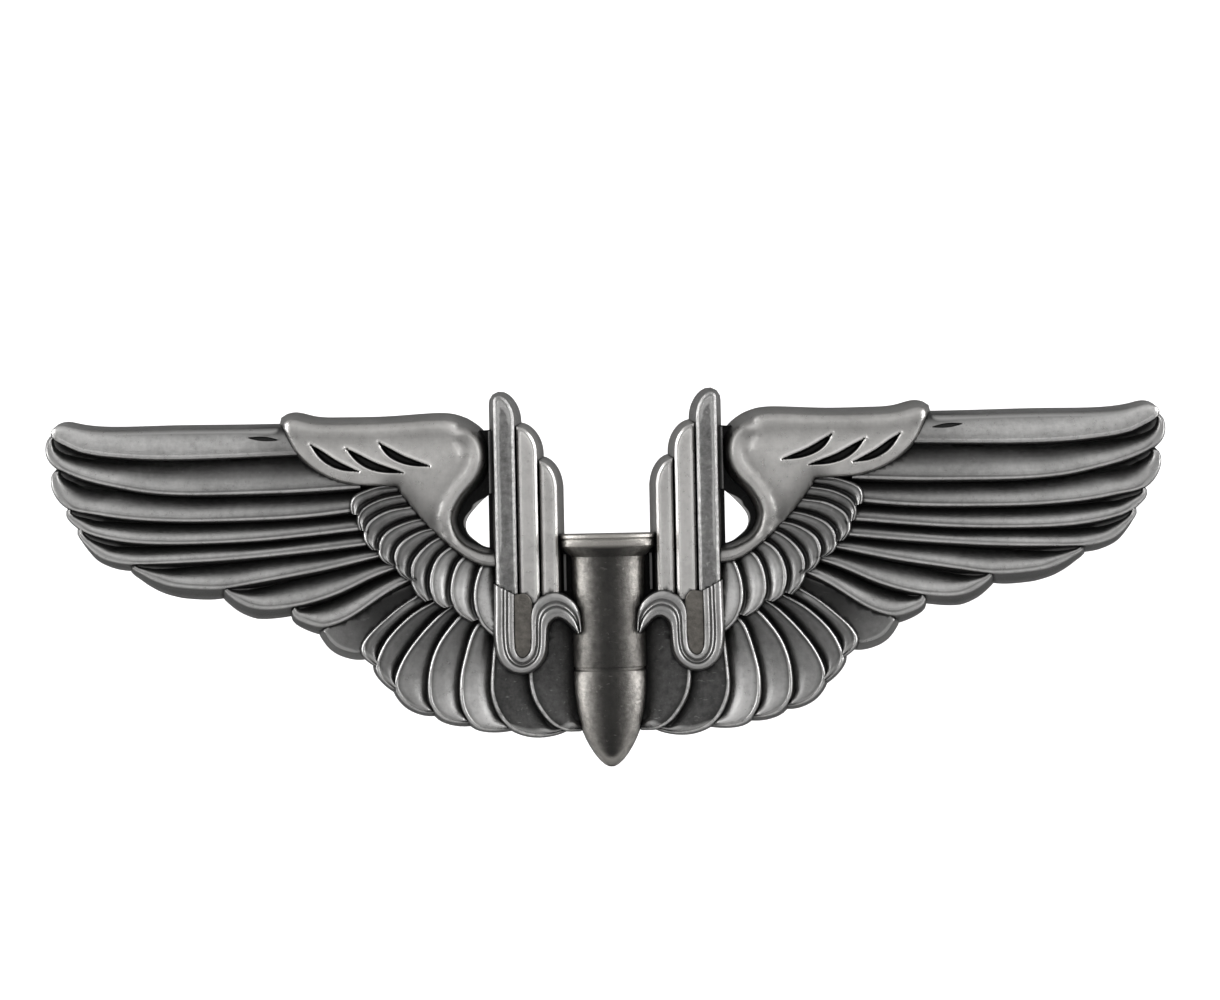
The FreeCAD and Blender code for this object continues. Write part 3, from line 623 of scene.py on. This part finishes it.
def right_half():
    """Every piece of relief on the right-hand side, each with the name of its finish."""
    primaries = [(*p, PRIMARY_SHINE) for p in PRIMARIES]
    secondaries = [(*p, shine) for p, shine in zip(SECONDARIES, SECONDARY_SHINE)][::-1]
    coverts = [(*p, COVERT_REACH, shine) for p, shine in zip(COVERTS, COVERT_SHINE)][::-1]
    rows = feather_row(primaries, TOP_PRIMARY_EDGE, (2.25, 2.5), 0.95, bead=0.02, crown=0.1,
                       fade=FACE_FADE, dive=(0.03, 0))
    solids = [(shape, "feather") for shape in rows]
    rows = feather_row(secondaries, BULLET_SIDE, (2.4, 2.35), 0.5, bead=0.06, crown=0.14,
                       fade=PLATEAU_FADE, dive=(0, 0.12))
    solids += [(shape, "dull" if i < 2 else "feather") for i, shape in enumerate(rows)]
    rows = feather_row(coverts, LEADING_NECK, (2.25, 3.0), 0.5, bead=0.06, crown=0.14, fade=PLATEAU_FADE)
    solids += [(shape, "feather") for shape in rows]
    solids += [(top_primary(), "feather"), (last_primary(), "feather")]
    solids += [(shoulder(), "bright"), (scroll_panel(), "stained")]
    solids += [(bar(*b), finish) for b, finish in zip(BARS, ("dull", "bright", "bright"))]
    solids.append((ribbon(SCROLL_OUTER, SCROLL_INNER, scroll_section, step=0.14), "feather"))
    solids.append((column(np.array(BACKING), UNDER, 0.95, 0.03), "feather"))
    solids.append((column(np.array(WEB), UNDER, 1.0, 0.03), "feather"))
    for x0, x1, z0, z1 in RIBS:
        loop = np.array([(x0, z0), (x1, z0), (x1, z1), (x0, z1)])
        solids.append((column(loop, UNDER, RIB_H, 0.2), "feather"))
    return solids


# ---------------- joining solids
def as_object(solid, name, material=None):
    """A solid as a mesh object whose faces all point outwards."""
    mesh = make_mesh(name, *solid)
    if material:
        mesh.materials.append(material)
    work = bmesh.new()
    work.from_mesh(mesh)
    bmesh.ops.recalc_face_normals(work, faces=work.faces)
    if work.calc_volume(signed=True) < 0:
        bmesh.ops.reverse_faces(work, faces=work.faces)
    work.to_mesh(mesh)
    work.free()
    return placed(name, mesh)


def combined(target, others, operation):
    """target joined with, or cut by, the other objects, which are used up."""
    for other in others:
        step = target.modifiers.new("step", "BOOLEAN")
        step.operation = operation
        step.solver = "MANIFOLD"
        step.material_mode = "TRANSFER"
        step.object = other
    graph = bpy.context.evaluated_depsgraph_get()
    mesh = bpy.data.meshes.new_from_object(target.evaluated_get(graph))
    target.modifiers.clear()
    target.data = mesh
    for other in others:
        bpy.data.objects.remove(other)
    return target


def mirrored(obj, name):
    """The same object on the other side."""
    mesh = obj.data.copy()
    mesh.transform(Matrix.Diagonal((-1, 1, 1, 1)))
    mesh.flip_normals()
    return placed(name, mesh)


def disc(place, radius, low, high):
    """A round prism about a place in x and z."""
    angles = np.linspace(0, 2 * math.pi, 64, endpoint=False)
    loop = np.stack([place[0] + radius * np.cos(angles), place[1] + radius * np.sin(angles)], 1)
    return column(loop, low, high)


def smooth(obj, angle):
    """Smooth shading, with edges sharper than this angle, in degrees, kept crisp."""
    mesh = obj.data
    mesh.polygons.foreach_set("use_smooth", [True] * len(mesh.polygons))
    mesh.set_sharp_from_angle(angle=math.radians(angle))


OPENING = (((8.02, 1.0), (8.02, 4.6)),
           ((8.02, 4.6), (8.4, 4.3), (9, 3.7), (9.5, 3.05), (9.65, 2.55), (9.5, 2), (9, 1.5),
            (8.5, 1.15), (8.02, 1.0)))


def badge_relief(finishes):
    """The whole casting: both halves and the cartridge joined, cut flush behind, with post cups."""
    parts = [as_object(solid, "part%02d" % i, finishes[kind])
             for i, (solid, kind) in enumerate(right_half())]
    half = combined(parts[0], parts[1:], "UNION")
    rear = column(np.array([(-60, -30), (60, -30), (60, 30), (-60, 30)], float), -3, 0)
    opening = column(outline(*OPENING, step=0.2), -1, 5)
    half = combined(half, [as_object(rear, "rear"), as_object(opening, "opening")], "DIFFERENCE")
    bullet = as_object(cartridge(), "bullet", finishes["turned"])
    bullet = combined(bullet, [as_object(rear, "rear")], "DIFFERENCE")
    whole = combined(half, [mirrored(half, "left"), bullet], "UNION")
    cups = [as_object(disc(p, 2.3, -1, 0.25), "cup") for p in POST_PLACES.values()]
    whole = combined(whole, cups, "DIFFERENCE")
    whole.name = whole.data.name = "badge_relief"
    smooth(whole, 32)
    mark_relief(whole)
    return whole


def blurred(field, radius):
    """A field softened by a Gaussian of this radius, in cells."""
    reach = int(3 * radius)
    kernel = np.exp(-0.5 * (np.arange(-reach, reach + 1) / radius) ** 2)
    kernel /= kernel.sum()
    wide = np.pad(field, reach, mode="edge")
    wide = np.apply_along_axis(lambda row: np.convolve(row, kernel, "valid"), 0, wide)
    return np.apply_along_axis(lambda row: np.convolve(row, kernel, "valid"), 1, wide)


CELL, LEFT, BOTTOM = 0.12, -40.0, -16.0     # the height field's cells and corner, in mm
COLUMNS, ROWS = int(80 / CELL) + 1, int(30 / CELL) + 1
NEARBY = 0.35               # the radius that counts as near surroundings, in mm
BACK_HEIGHT, BACK_POLISH = 0.3, 0.42        # lower than this is the plain back, evenly toned


def mark_relief(obj):
    """Stores how far each vertex stands above its near surroundings, in mm, and polishes the back."""
    tree = BVHTree.FromObject(obj, bpy.context.evaluated_depsgraph_get())
    field = np.zeros((ROWS, COLUMNS))
    for i in range(ROWS):
        for j in range(COLUMNS):
            x, z = (LEFT + j * CELL) * MM, (BOTTOM + i * CELL) * MM
            hit = tree.ray_cast(Vector((x, -0.02, z)), Vector((0, 1, 0)), 0.03)[0]
            if hit:
                field[i, j] = -hit.y / MM
    count = len(obj.data.vertices)
    flat = np.empty(count * 3)
    obj.data.vertices.foreach_get("co", flat)
    x, height, z = flat.reshape(-1, 3).T / MM * np.array([1, -1, 1])[:, None]
    u, v = (x - LEFT) / CELL, (z - BOTTOM) / CELL
    i, j = v.astype(int), u.astype(int)
    fu, fv = u - j, v - i
    soft = blurred(field, NEARBY / CELL)
    around = (soft[i, j] * (1 - fu) + soft[i, j + 1] * fu) * (1 - fv)
    around += (soft[i + 1, j] * (1 - fu) + soft[i + 1, j + 1] * fu) * fv
    back = height < BACK_HEIGHT
    near = obj.data.attributes.new("relief_near", "FLOAT", "POINT")
    near.data.foreach_set("value", np.where(back, 0, height - around))
    layer = obj.data.attributes["polish_and_painted_light"]
    polish_and_painted_light = np.empty(count)
    layer.data.foreach_get("value", polish_and_painted_light)
    layer.data.foreach_set("value", np.where(back, BACK_POLISH, polish_and_painted_light))


def place_of(node):
    """The centre of a node in x and z, in mm."""
    low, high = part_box(node)
    return ((low[0] + high[0]) * 500, (low[2] + high[2]) * 500)


POST_PLACES = {side: place_of("post_" + side) for side in ("left", "centre", "right")}


# ---------------- posts and clutches
CLUTCH_Y = 2.7              # a clutch's cloth side, behind the back plane
RING_START, RING_PITCH, RING_COUNT = 2.35, 0.5, 7
RING = ((0.55, 0), (0.53, 0.06), (0.46, 0.2), (0.45, 0.25), (0.46, 0.3), (0.53, 0.44))
ARM_PATH = ((0.12, 1.35), (2.3, 1.35), (2.9, 2.6), (4.7, 2.6), (7.8, 5.4))
ARM_HALF_WIDTH, ARM_HALF_THICKNESS, NOTCH, WING_CORNER = 1.8, 0.17, 0.6, 1.2


def rounded(points, radii, turns=5):
    """A polyline whose inner corners are replaced by arcs of the given radii."""
    points = [np.array(p, float) for p in points]
    out = [points[0]]
    for before, here, after, r in zip(points, points[1:], points[2:], radii):
        a, b = before - here, after - here
        la, lb = np.linalg.norm(a), np.linalg.norm(b)
        a, b = a / la, b / lb
        half = 0.5 * math.acos(max(-1.0, min(1.0, float(a @ b))))
        cut = min(r / math.tan(half), 0.48 * la, 0.48 * lb) if r else 0
        if cut < 1e-4:
            out.append(here)
            continue
        p, q = here + a * cut, here + b * cut
        for u in np.linspace(0, 1, turns):
            out.append((1 - u) ** 2 * p + 2 * u * (1 - u) * here + u**2 * q)
    out.append(points[-1])
    return out


def turned(profile, side, closed, start, segments=96):
    """A body of revolution about a post's axis. The profile is (radius, distance behind start)."""
    n = len(profile)
    x0, z0 = POST_PLACES[side]
    verts, faces = [], []
    for k in range(segments):
        a = 2 * math.pi * k / segments
        for r, y in profile:
            verts.append((x0 + r * math.cos(a), -(start + y), z0 + r * math.sin(a)))
    for k in range(segments):
        a, b = k * n, (k + 1) % segments * n
        for i in range(n if closed else n - 1):
            j = (i + 1) % n
            faces.append((a + i, a + j, b + j, b + i))
    return np.array(verts), faces


def welded(verts, faces):
    """The same solid with the points on its axis merged."""
    keys, index, fresh = {}, [], []
    for v in verts:
        key = tuple(np.round(v, 6))
        if key not in keys:
            keys[key] = len(fresh)
            fresh.append(v)
        index.append(keys[key])
    slim = []
    for face in faces:
        ids = [index[i] for i in face]
        ids = [a for a, b in zip(ids, ids[1:] + ids[:1]) if a != b]
        if len(ids) > 2:
            slim.append(tuple(ids))
    return np.array(fresh), slim


def post(side):
    """A nail post: solder fillet, round pad, grooved shank and tapered point."""
    profile = [(0, -0.25), (2, -0.25), (2, 0.2), (1.93, 0.25), (0.85, 0.25), (0.68, 0.29),
               (0.58, 0.38), (0.55, 0.52), (0.55, 2.3)]
    for i in range(RING_COUNT):
        profile += [(r, RING_START + RING_PITCH * i + y) for r, y in RING]
    profile += [(0.55, 5.85), (0.55, 6.5), (0.5, 6.66), (0.2, 7.42), (0.1, 7.55), (0.0, 7.6)]
    return as_object(welded(*turned(profile, side, False, 0, 48)), "nail_post_" + side)


def clutch_base(side):
    """A round plate with a dished hole, its rim rolled over the cap's flange."""
    path = ((0.75, 0.06), (0.84, 0), (5.7, 0), (5.7, 1.07), (4.8, 1.07), (4.8, 0.72), (5.35, 0.72),
            (5.35, 0.35), (0.84, 0.35), (0.75, 0.29), (0.75, 0.06))
    profile = rounded(path, (0.02, 0.42, 0.5, 0.16, 0.16, 0.1, 0.1, 0.02, 0.02))[:-1]
    return as_object(turned(profile, side, True, CLUTCH_Y), "clutch_plate_" + side)


def clutch_cap(side):
    """A flanged dome with a closed nipple and a slot on each side for the arms."""
    outer = ((5.3, 0.36), (5.3, 0.7), (3.9, 0.7), (3.9, 3.6), (1.7, 4.0), (1.7, 5.4), (0, 5.4))
    inner = ((0, 5.05), (1.35, 5.05), (1.35, 3.7), (3.55, 3.25), (3.55, 0.36), (5.3, 0.36))
    profile = rounded(outer, (0.08, 0.4, 0.9, 0.35, 0.45)) + rounded(inner, (0.25, 0.3, 0.6, 0.1))
    cap = as_object(welded(*turned(profile[:-1], side, True, CLUTCH_Y)), "clutch_dome_" + side)
    x, z = POST_PLACES[side]
    slots = []
    for sign in (1, -1):
        x0, x1 = sorted((x + sign * 2.5, x + sign * 5.0))
        loop = np.array([(x0, z - 1.95), (x1, z - 1.95), (x1, z + 1.95), (x0, z + 1.95)])
        slots.append(as_object(column(loop, -CLUTCH_Y - 3.1, -CLUTCH_Y - 2.1), "slot"))
    return combined(cap, slots, "DIFFERENCE")


def clutch_arm(side, sign):
    """A bent spring strip: a notched jaw at the post, a step through the slot, a finger wing."""
    path = np.array(rounded(ARM_PATH, (0.35, 0.35, 0.8), 7))
    along = np.r_[0, np.cumsum(np.linalg.norm(np.diff(path, axis=0), axis=1))]
    stops = np.unique(np.r_[np.linspace(0, along[-1], 60), along])
    tangent = np.gradient(path, along, axis=0)
    x0, z0 = POST_PLACES[side]
    rows = []
    for z in np.linspace(-ARM_HALF_WIDTH, ARM_HALF_WIDTH, 33):
        first = max(0.0, math.sqrt(max(NOTCH**2 - z * z, 0)) - ARM_PATH[0][0])
        over = max(abs(z) - (ARM_HALF_WIDTH - WING_CORNER), 0)
        last = along[-1] - (WING_CORNER - math.sqrt(max(WING_CORNER**2 - over * over, 0)))
        s = first + (last - first) * stops / along[-1]
        px, py = np.interp(s, along, path[:, 0]), np.interp(s, along, path[:, 1])
        tx, ty = np.interp(s, along, tangent[:, 0]), np.interp(s, along, tangent[:, 1])
        k = ARM_HALF_THICKNESS / np.hypot(tx, ty)
        front, back = (np.stack([x0 + sign * (px - t * ty), -(CLUTCH_Y + py + t * tx),
                                 np.full(len(s), z0 + z)], 1) for t in (k, -k))
        rows.append(np.concatenate([front, back[::-1]]))
    arm = as_object(grid_solid(rows), "clutch_wing_" + side + ("_right" if sign > 0 else "_left"))
    edge = arm.modifiers.new("worn edge", "BEVEL")
    edge.width, edge.segments, edge.limit_method, edge.angle_limit = 0.00005, 2, "ANGLE", 0.7
    return arm


# ---------------- materials
COLOUR_A, COLOUR_B, COLOUR_OUT = 6, 7, 2        # the colour sockets of a mix node


class Nodes:
    """A small helper for building a node tree."""

    def __init__(self, owner):
        owner.use_nodes = True
        self.owner, self.tree = owner, owner.node_tree

    @classmethod
    def surface(cls, name):
        """A new material with a principled shader."""
        nodes = cls(bpy.data.materials.new(name))
        nodes.tree.nodes.clear()
        nodes.out, nodes.shader = nodes.add("OutputMaterial"), nodes.add("BsdfPrincipled")
        nodes.feed(nodes.out, {0: nodes.shader.outputs[0]})
        nodes.place = nodes.add("TexCoord").outputs["Object"]
        return nodes

    def add(self, kind):
        return self.tree.nodes.new("ShaderNode" + kind)

    def feed(self, node, values):
        """Gives a node's inputs, by name or number, a value or another node's output."""
        for name, value in values.items():
            if hasattr(value, "is_output"):
                self.tree.links.new(value, node.inputs[name])
            else:
                node.inputs[name].default_value = value

    def math(self, kind, a, b=0.0):
        node = self.add("Math")
        node.operation = kind
        self.feed(node, {0: a, 1: b})
        return node.outputs[0]

    def product(self, a, b):
        return self.math("MULTIPLY", a, b)

    def noise(self, scale, detail=4.0, rough=0.6, stretch=None, turn=0.0):
        """Fractal noise; scale is in waves per mm."""
        where = self.place
        if stretch:
            mapping = self.add("Mapping")
            self.feed(mapping, {"Rotation": (0, turn, 0), "Scale": stretch, "Vector": where})
            where = mapping.outputs[0]
        node = self.add("TexNoise")
        self.feed(node, {"Scale": scale / MM, "Detail": detail, "Roughness": rough, "Vector": where})
        return node.outputs["Fac"]

    def ramp(self, value, low, high, out_low=0.0, out_high=1.0):
        """value from low..high to out_low..out_high, clamped."""
        node = self.add("MapRange")
        self.feed(node, {"Value": value, "From Min": low, "From Max": high,
                         "To Min": out_low, "To Max": out_high})
        return node.outputs[0]

    def attribute(self, name):
        node = self.add("Attribute")
        node.attribute_name = name
        return node.outputs["Fac"]

    def absolute_part(self, vector, axis):
        """The size of a vector's part along one axis."""
        parts = self.add("SeparateXYZ")
        self.feed(parts, {0: vector})
        return self.math("ABSOLUTE", parts.outputs[axis])

    def facing(self):
        """1 where the surface faces the front or the back, 0 on a wall."""
        return self.absolute_part(self.add("TexCoord").outputs["Normal"], "Y")

    def occlusion(self, reach):
        """How open the surface is within reach, in mm."""
        node = self.add("AmbientOcclusion")
        node.samples, node.only_local = 3, True
        self.feed(node, {"Distance": reach * MM})
        return node.outputs["AO"]

    def blend(self, factor, a, b):
        node = self.add("Mix")
        node.data_type = "RGBA"
        self.feed(node, {0: factor, COLOUR_A: a, COLOUR_B: b})
        return node.outputs[COLOUR_OUT]

    def bump(self, height, depth, strength):
        """Fine relief; depth is in mm."""
        node = self.add("Bump")
        self.feed(node, {"Distance": depth * MM, "Strength": strength, "Height": height})
        self.feed(self.shader, {"Normal": node.outputs[0]})


def tone(value, warm=0.0):
    """A grey, perhaps shifted towards yellow."""
    return (value * (1 + warm), value, value * (1 - 1.4 * warm), 1.0)


OXIDE, SILVER = 0.012, 0.93     # the tones of a black recess and of bare metal


def antique_silver(name, pitted=0.5, rough=0.3, warm=0.01, speckle=0.3, scratched=0.06):
    """Silver plate over a cast surface, with black oxide left wherever the relief is low.

    The mesh's polish says how bright the metal was rubbed, and in places it holds painted highlights and
    painted shade instead; pitted is the casting's grain.
    """
    n = Nodes.surface(name)
    polish_and_painted_light, near = n.attribute("polish_and_painted_light"), n.attribute("relief_near")
    crevice, facing = n.occlusion(0.55), n.facing()
    grain = n.noise(2.4, 6.0, 0.68)
    patches = n.noise(0.3, 4.0, 0.6)
    level = n.math("ADD", n.product(n.math("SUBTRACT", patches, 0.5), 0.7),
                   n.product(n.math("SUBTRACT", grain, 0.5), speckle * 2))
    rubbed = n.product(n.ramp(crevice, 0.08, 0.62), n.ramp(facing, 0.2, 0.75, 0.5, 1.0))
    rubbed = n.product(rubbed, n.ramp(near, -1.0, -0.45, 0.3, 1.0))
    bare = n.product(n.product(polish_and_painted_light, rubbed), n.math("ADD", level, 1.0))
    worn = n.product(n.ramp(near, 0.08, 0.24, 0.0, 0.6), n.ramp(crevice, 0.6, 0.9))
    bare = n.math("MAXIMUM", bare, n.product(worn, n.ramp(facing, 0.3, 0.8)))
    nicks = n.math("ADD", n.ramp(n.noise(1.6, 3.0, 0.7, (0.7, 1, 2.4), 0.9), 0.64, 0.74),
                   n.ramp(n.noise(2.6, 2.0, 0.7), 0.66, 0.76))
    nicks = n.product(n.product(nicks, scratched), n.ramp(crevice, 0.5, 0.9))
    bare = n.math("ADD", bare, nicks)
    colour = n.blend(n.ramp(bare, 0.0, 1.0), tone(OXIDE), tone(SILVER, warm))
    scratches = n.math("ADD", n.noise(1.1, 3.0, 0.75, (0.08, 1, 2.6), 0.35),
                       n.noise(0.9, 3.0, 0.75, (2.8, 1, 0.07), -0.25))
    pits = n.product(n.noise(4.5, 4.0, 0.72), pitted)
    n.bump(n.math("ADD", pits, n.product(scratches, 0.22)), 0.05, 0.9)
    gloss = n.ramp(bare, 0.0, 0.4, 0.55, rough)
    gloss = n.math("ADD", gloss, n.ramp(grain, 0.3, 0.7, -0.05, 0.08))
    metal = n.ramp(bare, 0.0, 0.1, 0.6, 1.0)
    n.feed(n.shader, {"Base Color": colour, "Metallic": metal, "Roughness": gloss})
    return n.owner


def plated(name, bright, dull, roughness):
    """Plated sheet or wire with fine handling marks and a little painted shade in its corners."""
    n = Nodes.surface(name)
    cloud = n.noise(0.5, 5.0, 0.6)
    colour = n.blend(n.ramp(cloud, 0.35, 0.7), dull + (1.0,), bright + (1.0,))
    # painted shade: darker where ambient occlusion finds corners
    painted_corner_shade = tuple(0.25 * c for c in dull) + (1.0,)
    colour = n.blend(n.ramp(n.occlusion(0.6), 0.25, 0.8), painted_corner_shade, colour)
    n.bump(n.noise(2.5, 3.0, 0.7, (0.15, 1, 2.0), 0.6), 0.006, 0.6)
    gloss = n.ramp(cloud, 0.3, 0.75, roughness, roughness + 0.14)
    n.feed(n.shader, {"Base Color": colour, "Metallic": 1.0, "Roughness": gloss})
    return n.owner


def pale_stage():
    """A pale matt sheet that glows white to the camera and can't be seen from behind."""
    n = Nodes.surface("pale_stage")
    colour = n.blend(n.ramp(n.noise(0.004, 2.0, 0.5), 0.3, 0.7), tone(0.44), tone(0.46))
    seen = n.add("LightPath").outputs["Is Camera Ray"]
    n.feed(n.shader, {"Base Color": colour, "Roughness": 0.9, "Emission Color": tone(1.0),
                      "Emission Strength": seen})
    mix = n.add("MixShader")
    n.feed(mix, {0: n.add("NewGeometry").outputs["Backfacing"], 1: n.shader.outputs[0],
                 2: n.add("BsdfTransparent").outputs[0]})
    n.feed(n.out, {0: mix.outputs[0]})
    return n.owner


# ---------------- building the scene
FINISHES = {
    "feather": antique_silver("silver_feather"),
    "bright": antique_silver("silver_bright", pitted=0.3, warm=0.02, speckle=0.12),
    "dull": antique_silver("silver_dull", pitted=1.4, rough=0.36, speckle=0.9, scratched=0.2),
    "stained": antique_silver("silver_stained", pitted=1.0, rough=0.4, warm=0.07, speckle=0.8),
    "turned": antique_silver("silver_turned", pitted=1.1, rough=0.32, warm=0.045, speckle=0.75,
                             scratched=0.16),
}
PLATING = {
    "plated_steel": plated("plated_steel", (0.74, 0.74, 0.72), (0.52, 0.51, 0.49), 0.22),
    "clutch_brass": plated("clutch_brass", (0.83, 0.62, 0.28), (0.66, 0.46, 0.19), 0.20),
    "spring_brass": plated("spring_brass", (0.78, 0.60, 0.30), (0.60, 0.43, 0.20), 0.24),
}


def hand_over(obj, body, node):
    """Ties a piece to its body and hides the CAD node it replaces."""
    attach(obj, body)
    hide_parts(node)


def plate_piece(obj, slot_name, body, node):
    """Finishes a piece of one plated material and hands it over."""
    obj.data.materials.clear()
    obj.data.materials.append(PLATING[slot_name])
    smooth(obj, 35)
    hand_over(obj, body, node)


hand_over(badge_relief(FINISHES), "badge", "wings_badge")
for side in POST_PLACES:
    clutch = "clutch_" + side
    plate_piece(post(side), "plated_steel", "badge", "post_" + side)
    plate_piece(clutch_base(side), "clutch_brass", clutch, clutch + "_base")
    plate_piece(clutch_cap(side), "clutch_brass", clutch, clutch + "_cap")
    for sign, hand in ((1, "right"), (-1, "left")):
        arm_node = clutch + "_arm_" + hand
        plate_piece(clutch_arm(side, sign), "spring_brass", arm_node, arm_node)


# ---------------- studio
def stage_piece(name, verts, faces, material):
    """A smooth sheet that belongs to the studio."""
    mesh = bpy.data.meshes.new(name)
    mesh.from_pydata(verts, [], faces)
    mesh.polygons.foreach_set("use_smooth", [True] * len(faces))
    mesh.materials.append(material)
    placed(name, mesh)


def cove(name, material):
    """A floor that curves up into a wall behind the badge, facing the camera."""
    wall, floor, radius, front, top, half, turns = 0.034, -0.045, 0.02, -0.6, 0.5, 0.6, 12
    line = [(front, floor)]
    for k in range(turns + 1):
        a = math.pi / 2 * k / turns
        line.append((wall - radius + radius * math.sin(a), floor + radius - radius * math.cos(a)))
    line.append((wall, top))
    verts = [(x, y, z) for y, z in line for x in (-half, half)]
    faces = [(2 * i, 2 * i + 1, 2 * i + 3, 2 * i + 2) for i in range(len(line) - 1)]
    stage_piece(name, verts, faces, material)


def softbox(name, place, width, height, power):
    """A rectangular lamp aimed at the badge."""
    data = bpy.data.lights.new(name, "AREA")
    data.shape, data.size, data.size_y, data.energy = "RECTANGLE", width, height, power
    obj = placed(name, data)
    obj.location = place
    obj.rotation_euler = (-Vector(place)).to_track_quat("-Z", "Y").to_euler()


PALE = pale_stage()
cove("pale_cove", PALE)
FLOOR_Z, FLOOR_HALF = -0.0452, 3
corners = [(x * FLOOR_HALF, y * FLOOR_HALF, FLOOR_Z) for x, y in ((-1, -1), (1, -1), (1, 1), (-1, 1))]
stage_piece("pale_floor", corners, [(0, 1, 2, 3)], PALE)
softbox("left_box", (-0.30, -0.02, 0.04), 0.16, 0.40, 0.7)
softbox("right_box", (0.30, -0.02, 0.04), 0.16, 0.40, 0.7)
softbox("top_box", (0, -0.24, 0.24), 0.60, 0.14, 0.05)
softbox("rear_box", (0, 0.40, 0.25), 0.40, 0.30, 1.0)


def studio_world():
    """A soft tent round the badge: bright at the sides, dimmer above and at the camera, and darker still
    below.
    """
    n = Nodes(bpy.data.worlds.new("studio"))
    way = n.add("TexCoord").outputs["Generated"]
    side = n.ramp(n.absolute_part(way, "X"), 0.55, 0.95, 0.0, 0.9)
    parts = n.add("SeparateXYZ")
    n.feed(parts, {0: way})
    below = n.ramp(parts.outputs["Z"], -0.6, -0.05, 0.35, 1.0)
    light = n.product(n.math("ADD", side, 0.5), below)
    seen = n.add("LightPath").outputs["Is Camera Ray"]
    n.feed(n.tree.nodes["Background"], {"Color": tone(1.0), "Strength": n.math("MAXIMUM", light, seen)})
    return n.owner


bpy.context.scene.world = studio_world()
bpy.context.scene.view_settings.view_transform = "Standard"

# ---------------- camera
FRAME_WIDTH = 82.3          # mm across the picture, at the relief
RELIEF_Y = 2.5              # how far the relief stands in front of the back plane, in mm
LENS, SENSOR = 90.0, 36.0
AIM = (0.23, 4.08)          # the middle of the picture, in mm
ROLL = math.radians(1.15)
camera_data = bpy.data.cameras.new("camera")
camera_data.lens, camera_data.sensor_width = LENS, SENSOR
camera_data.clip_start, camera_data.clip_end = 0.01, 5.0
camera = placed("camera", camera_data)
away = FRAME_WIDTH * LENS / SENSOR + RELIEF_Y
camera.location = (AIM[0] * MM, -away * MM, AIM[1] * MM)
camera.rotation_mode = "XYZ"
camera.rotation_euler = (math.pi / 2, ROLL, 0)
bpy.context.scene.camera = camera
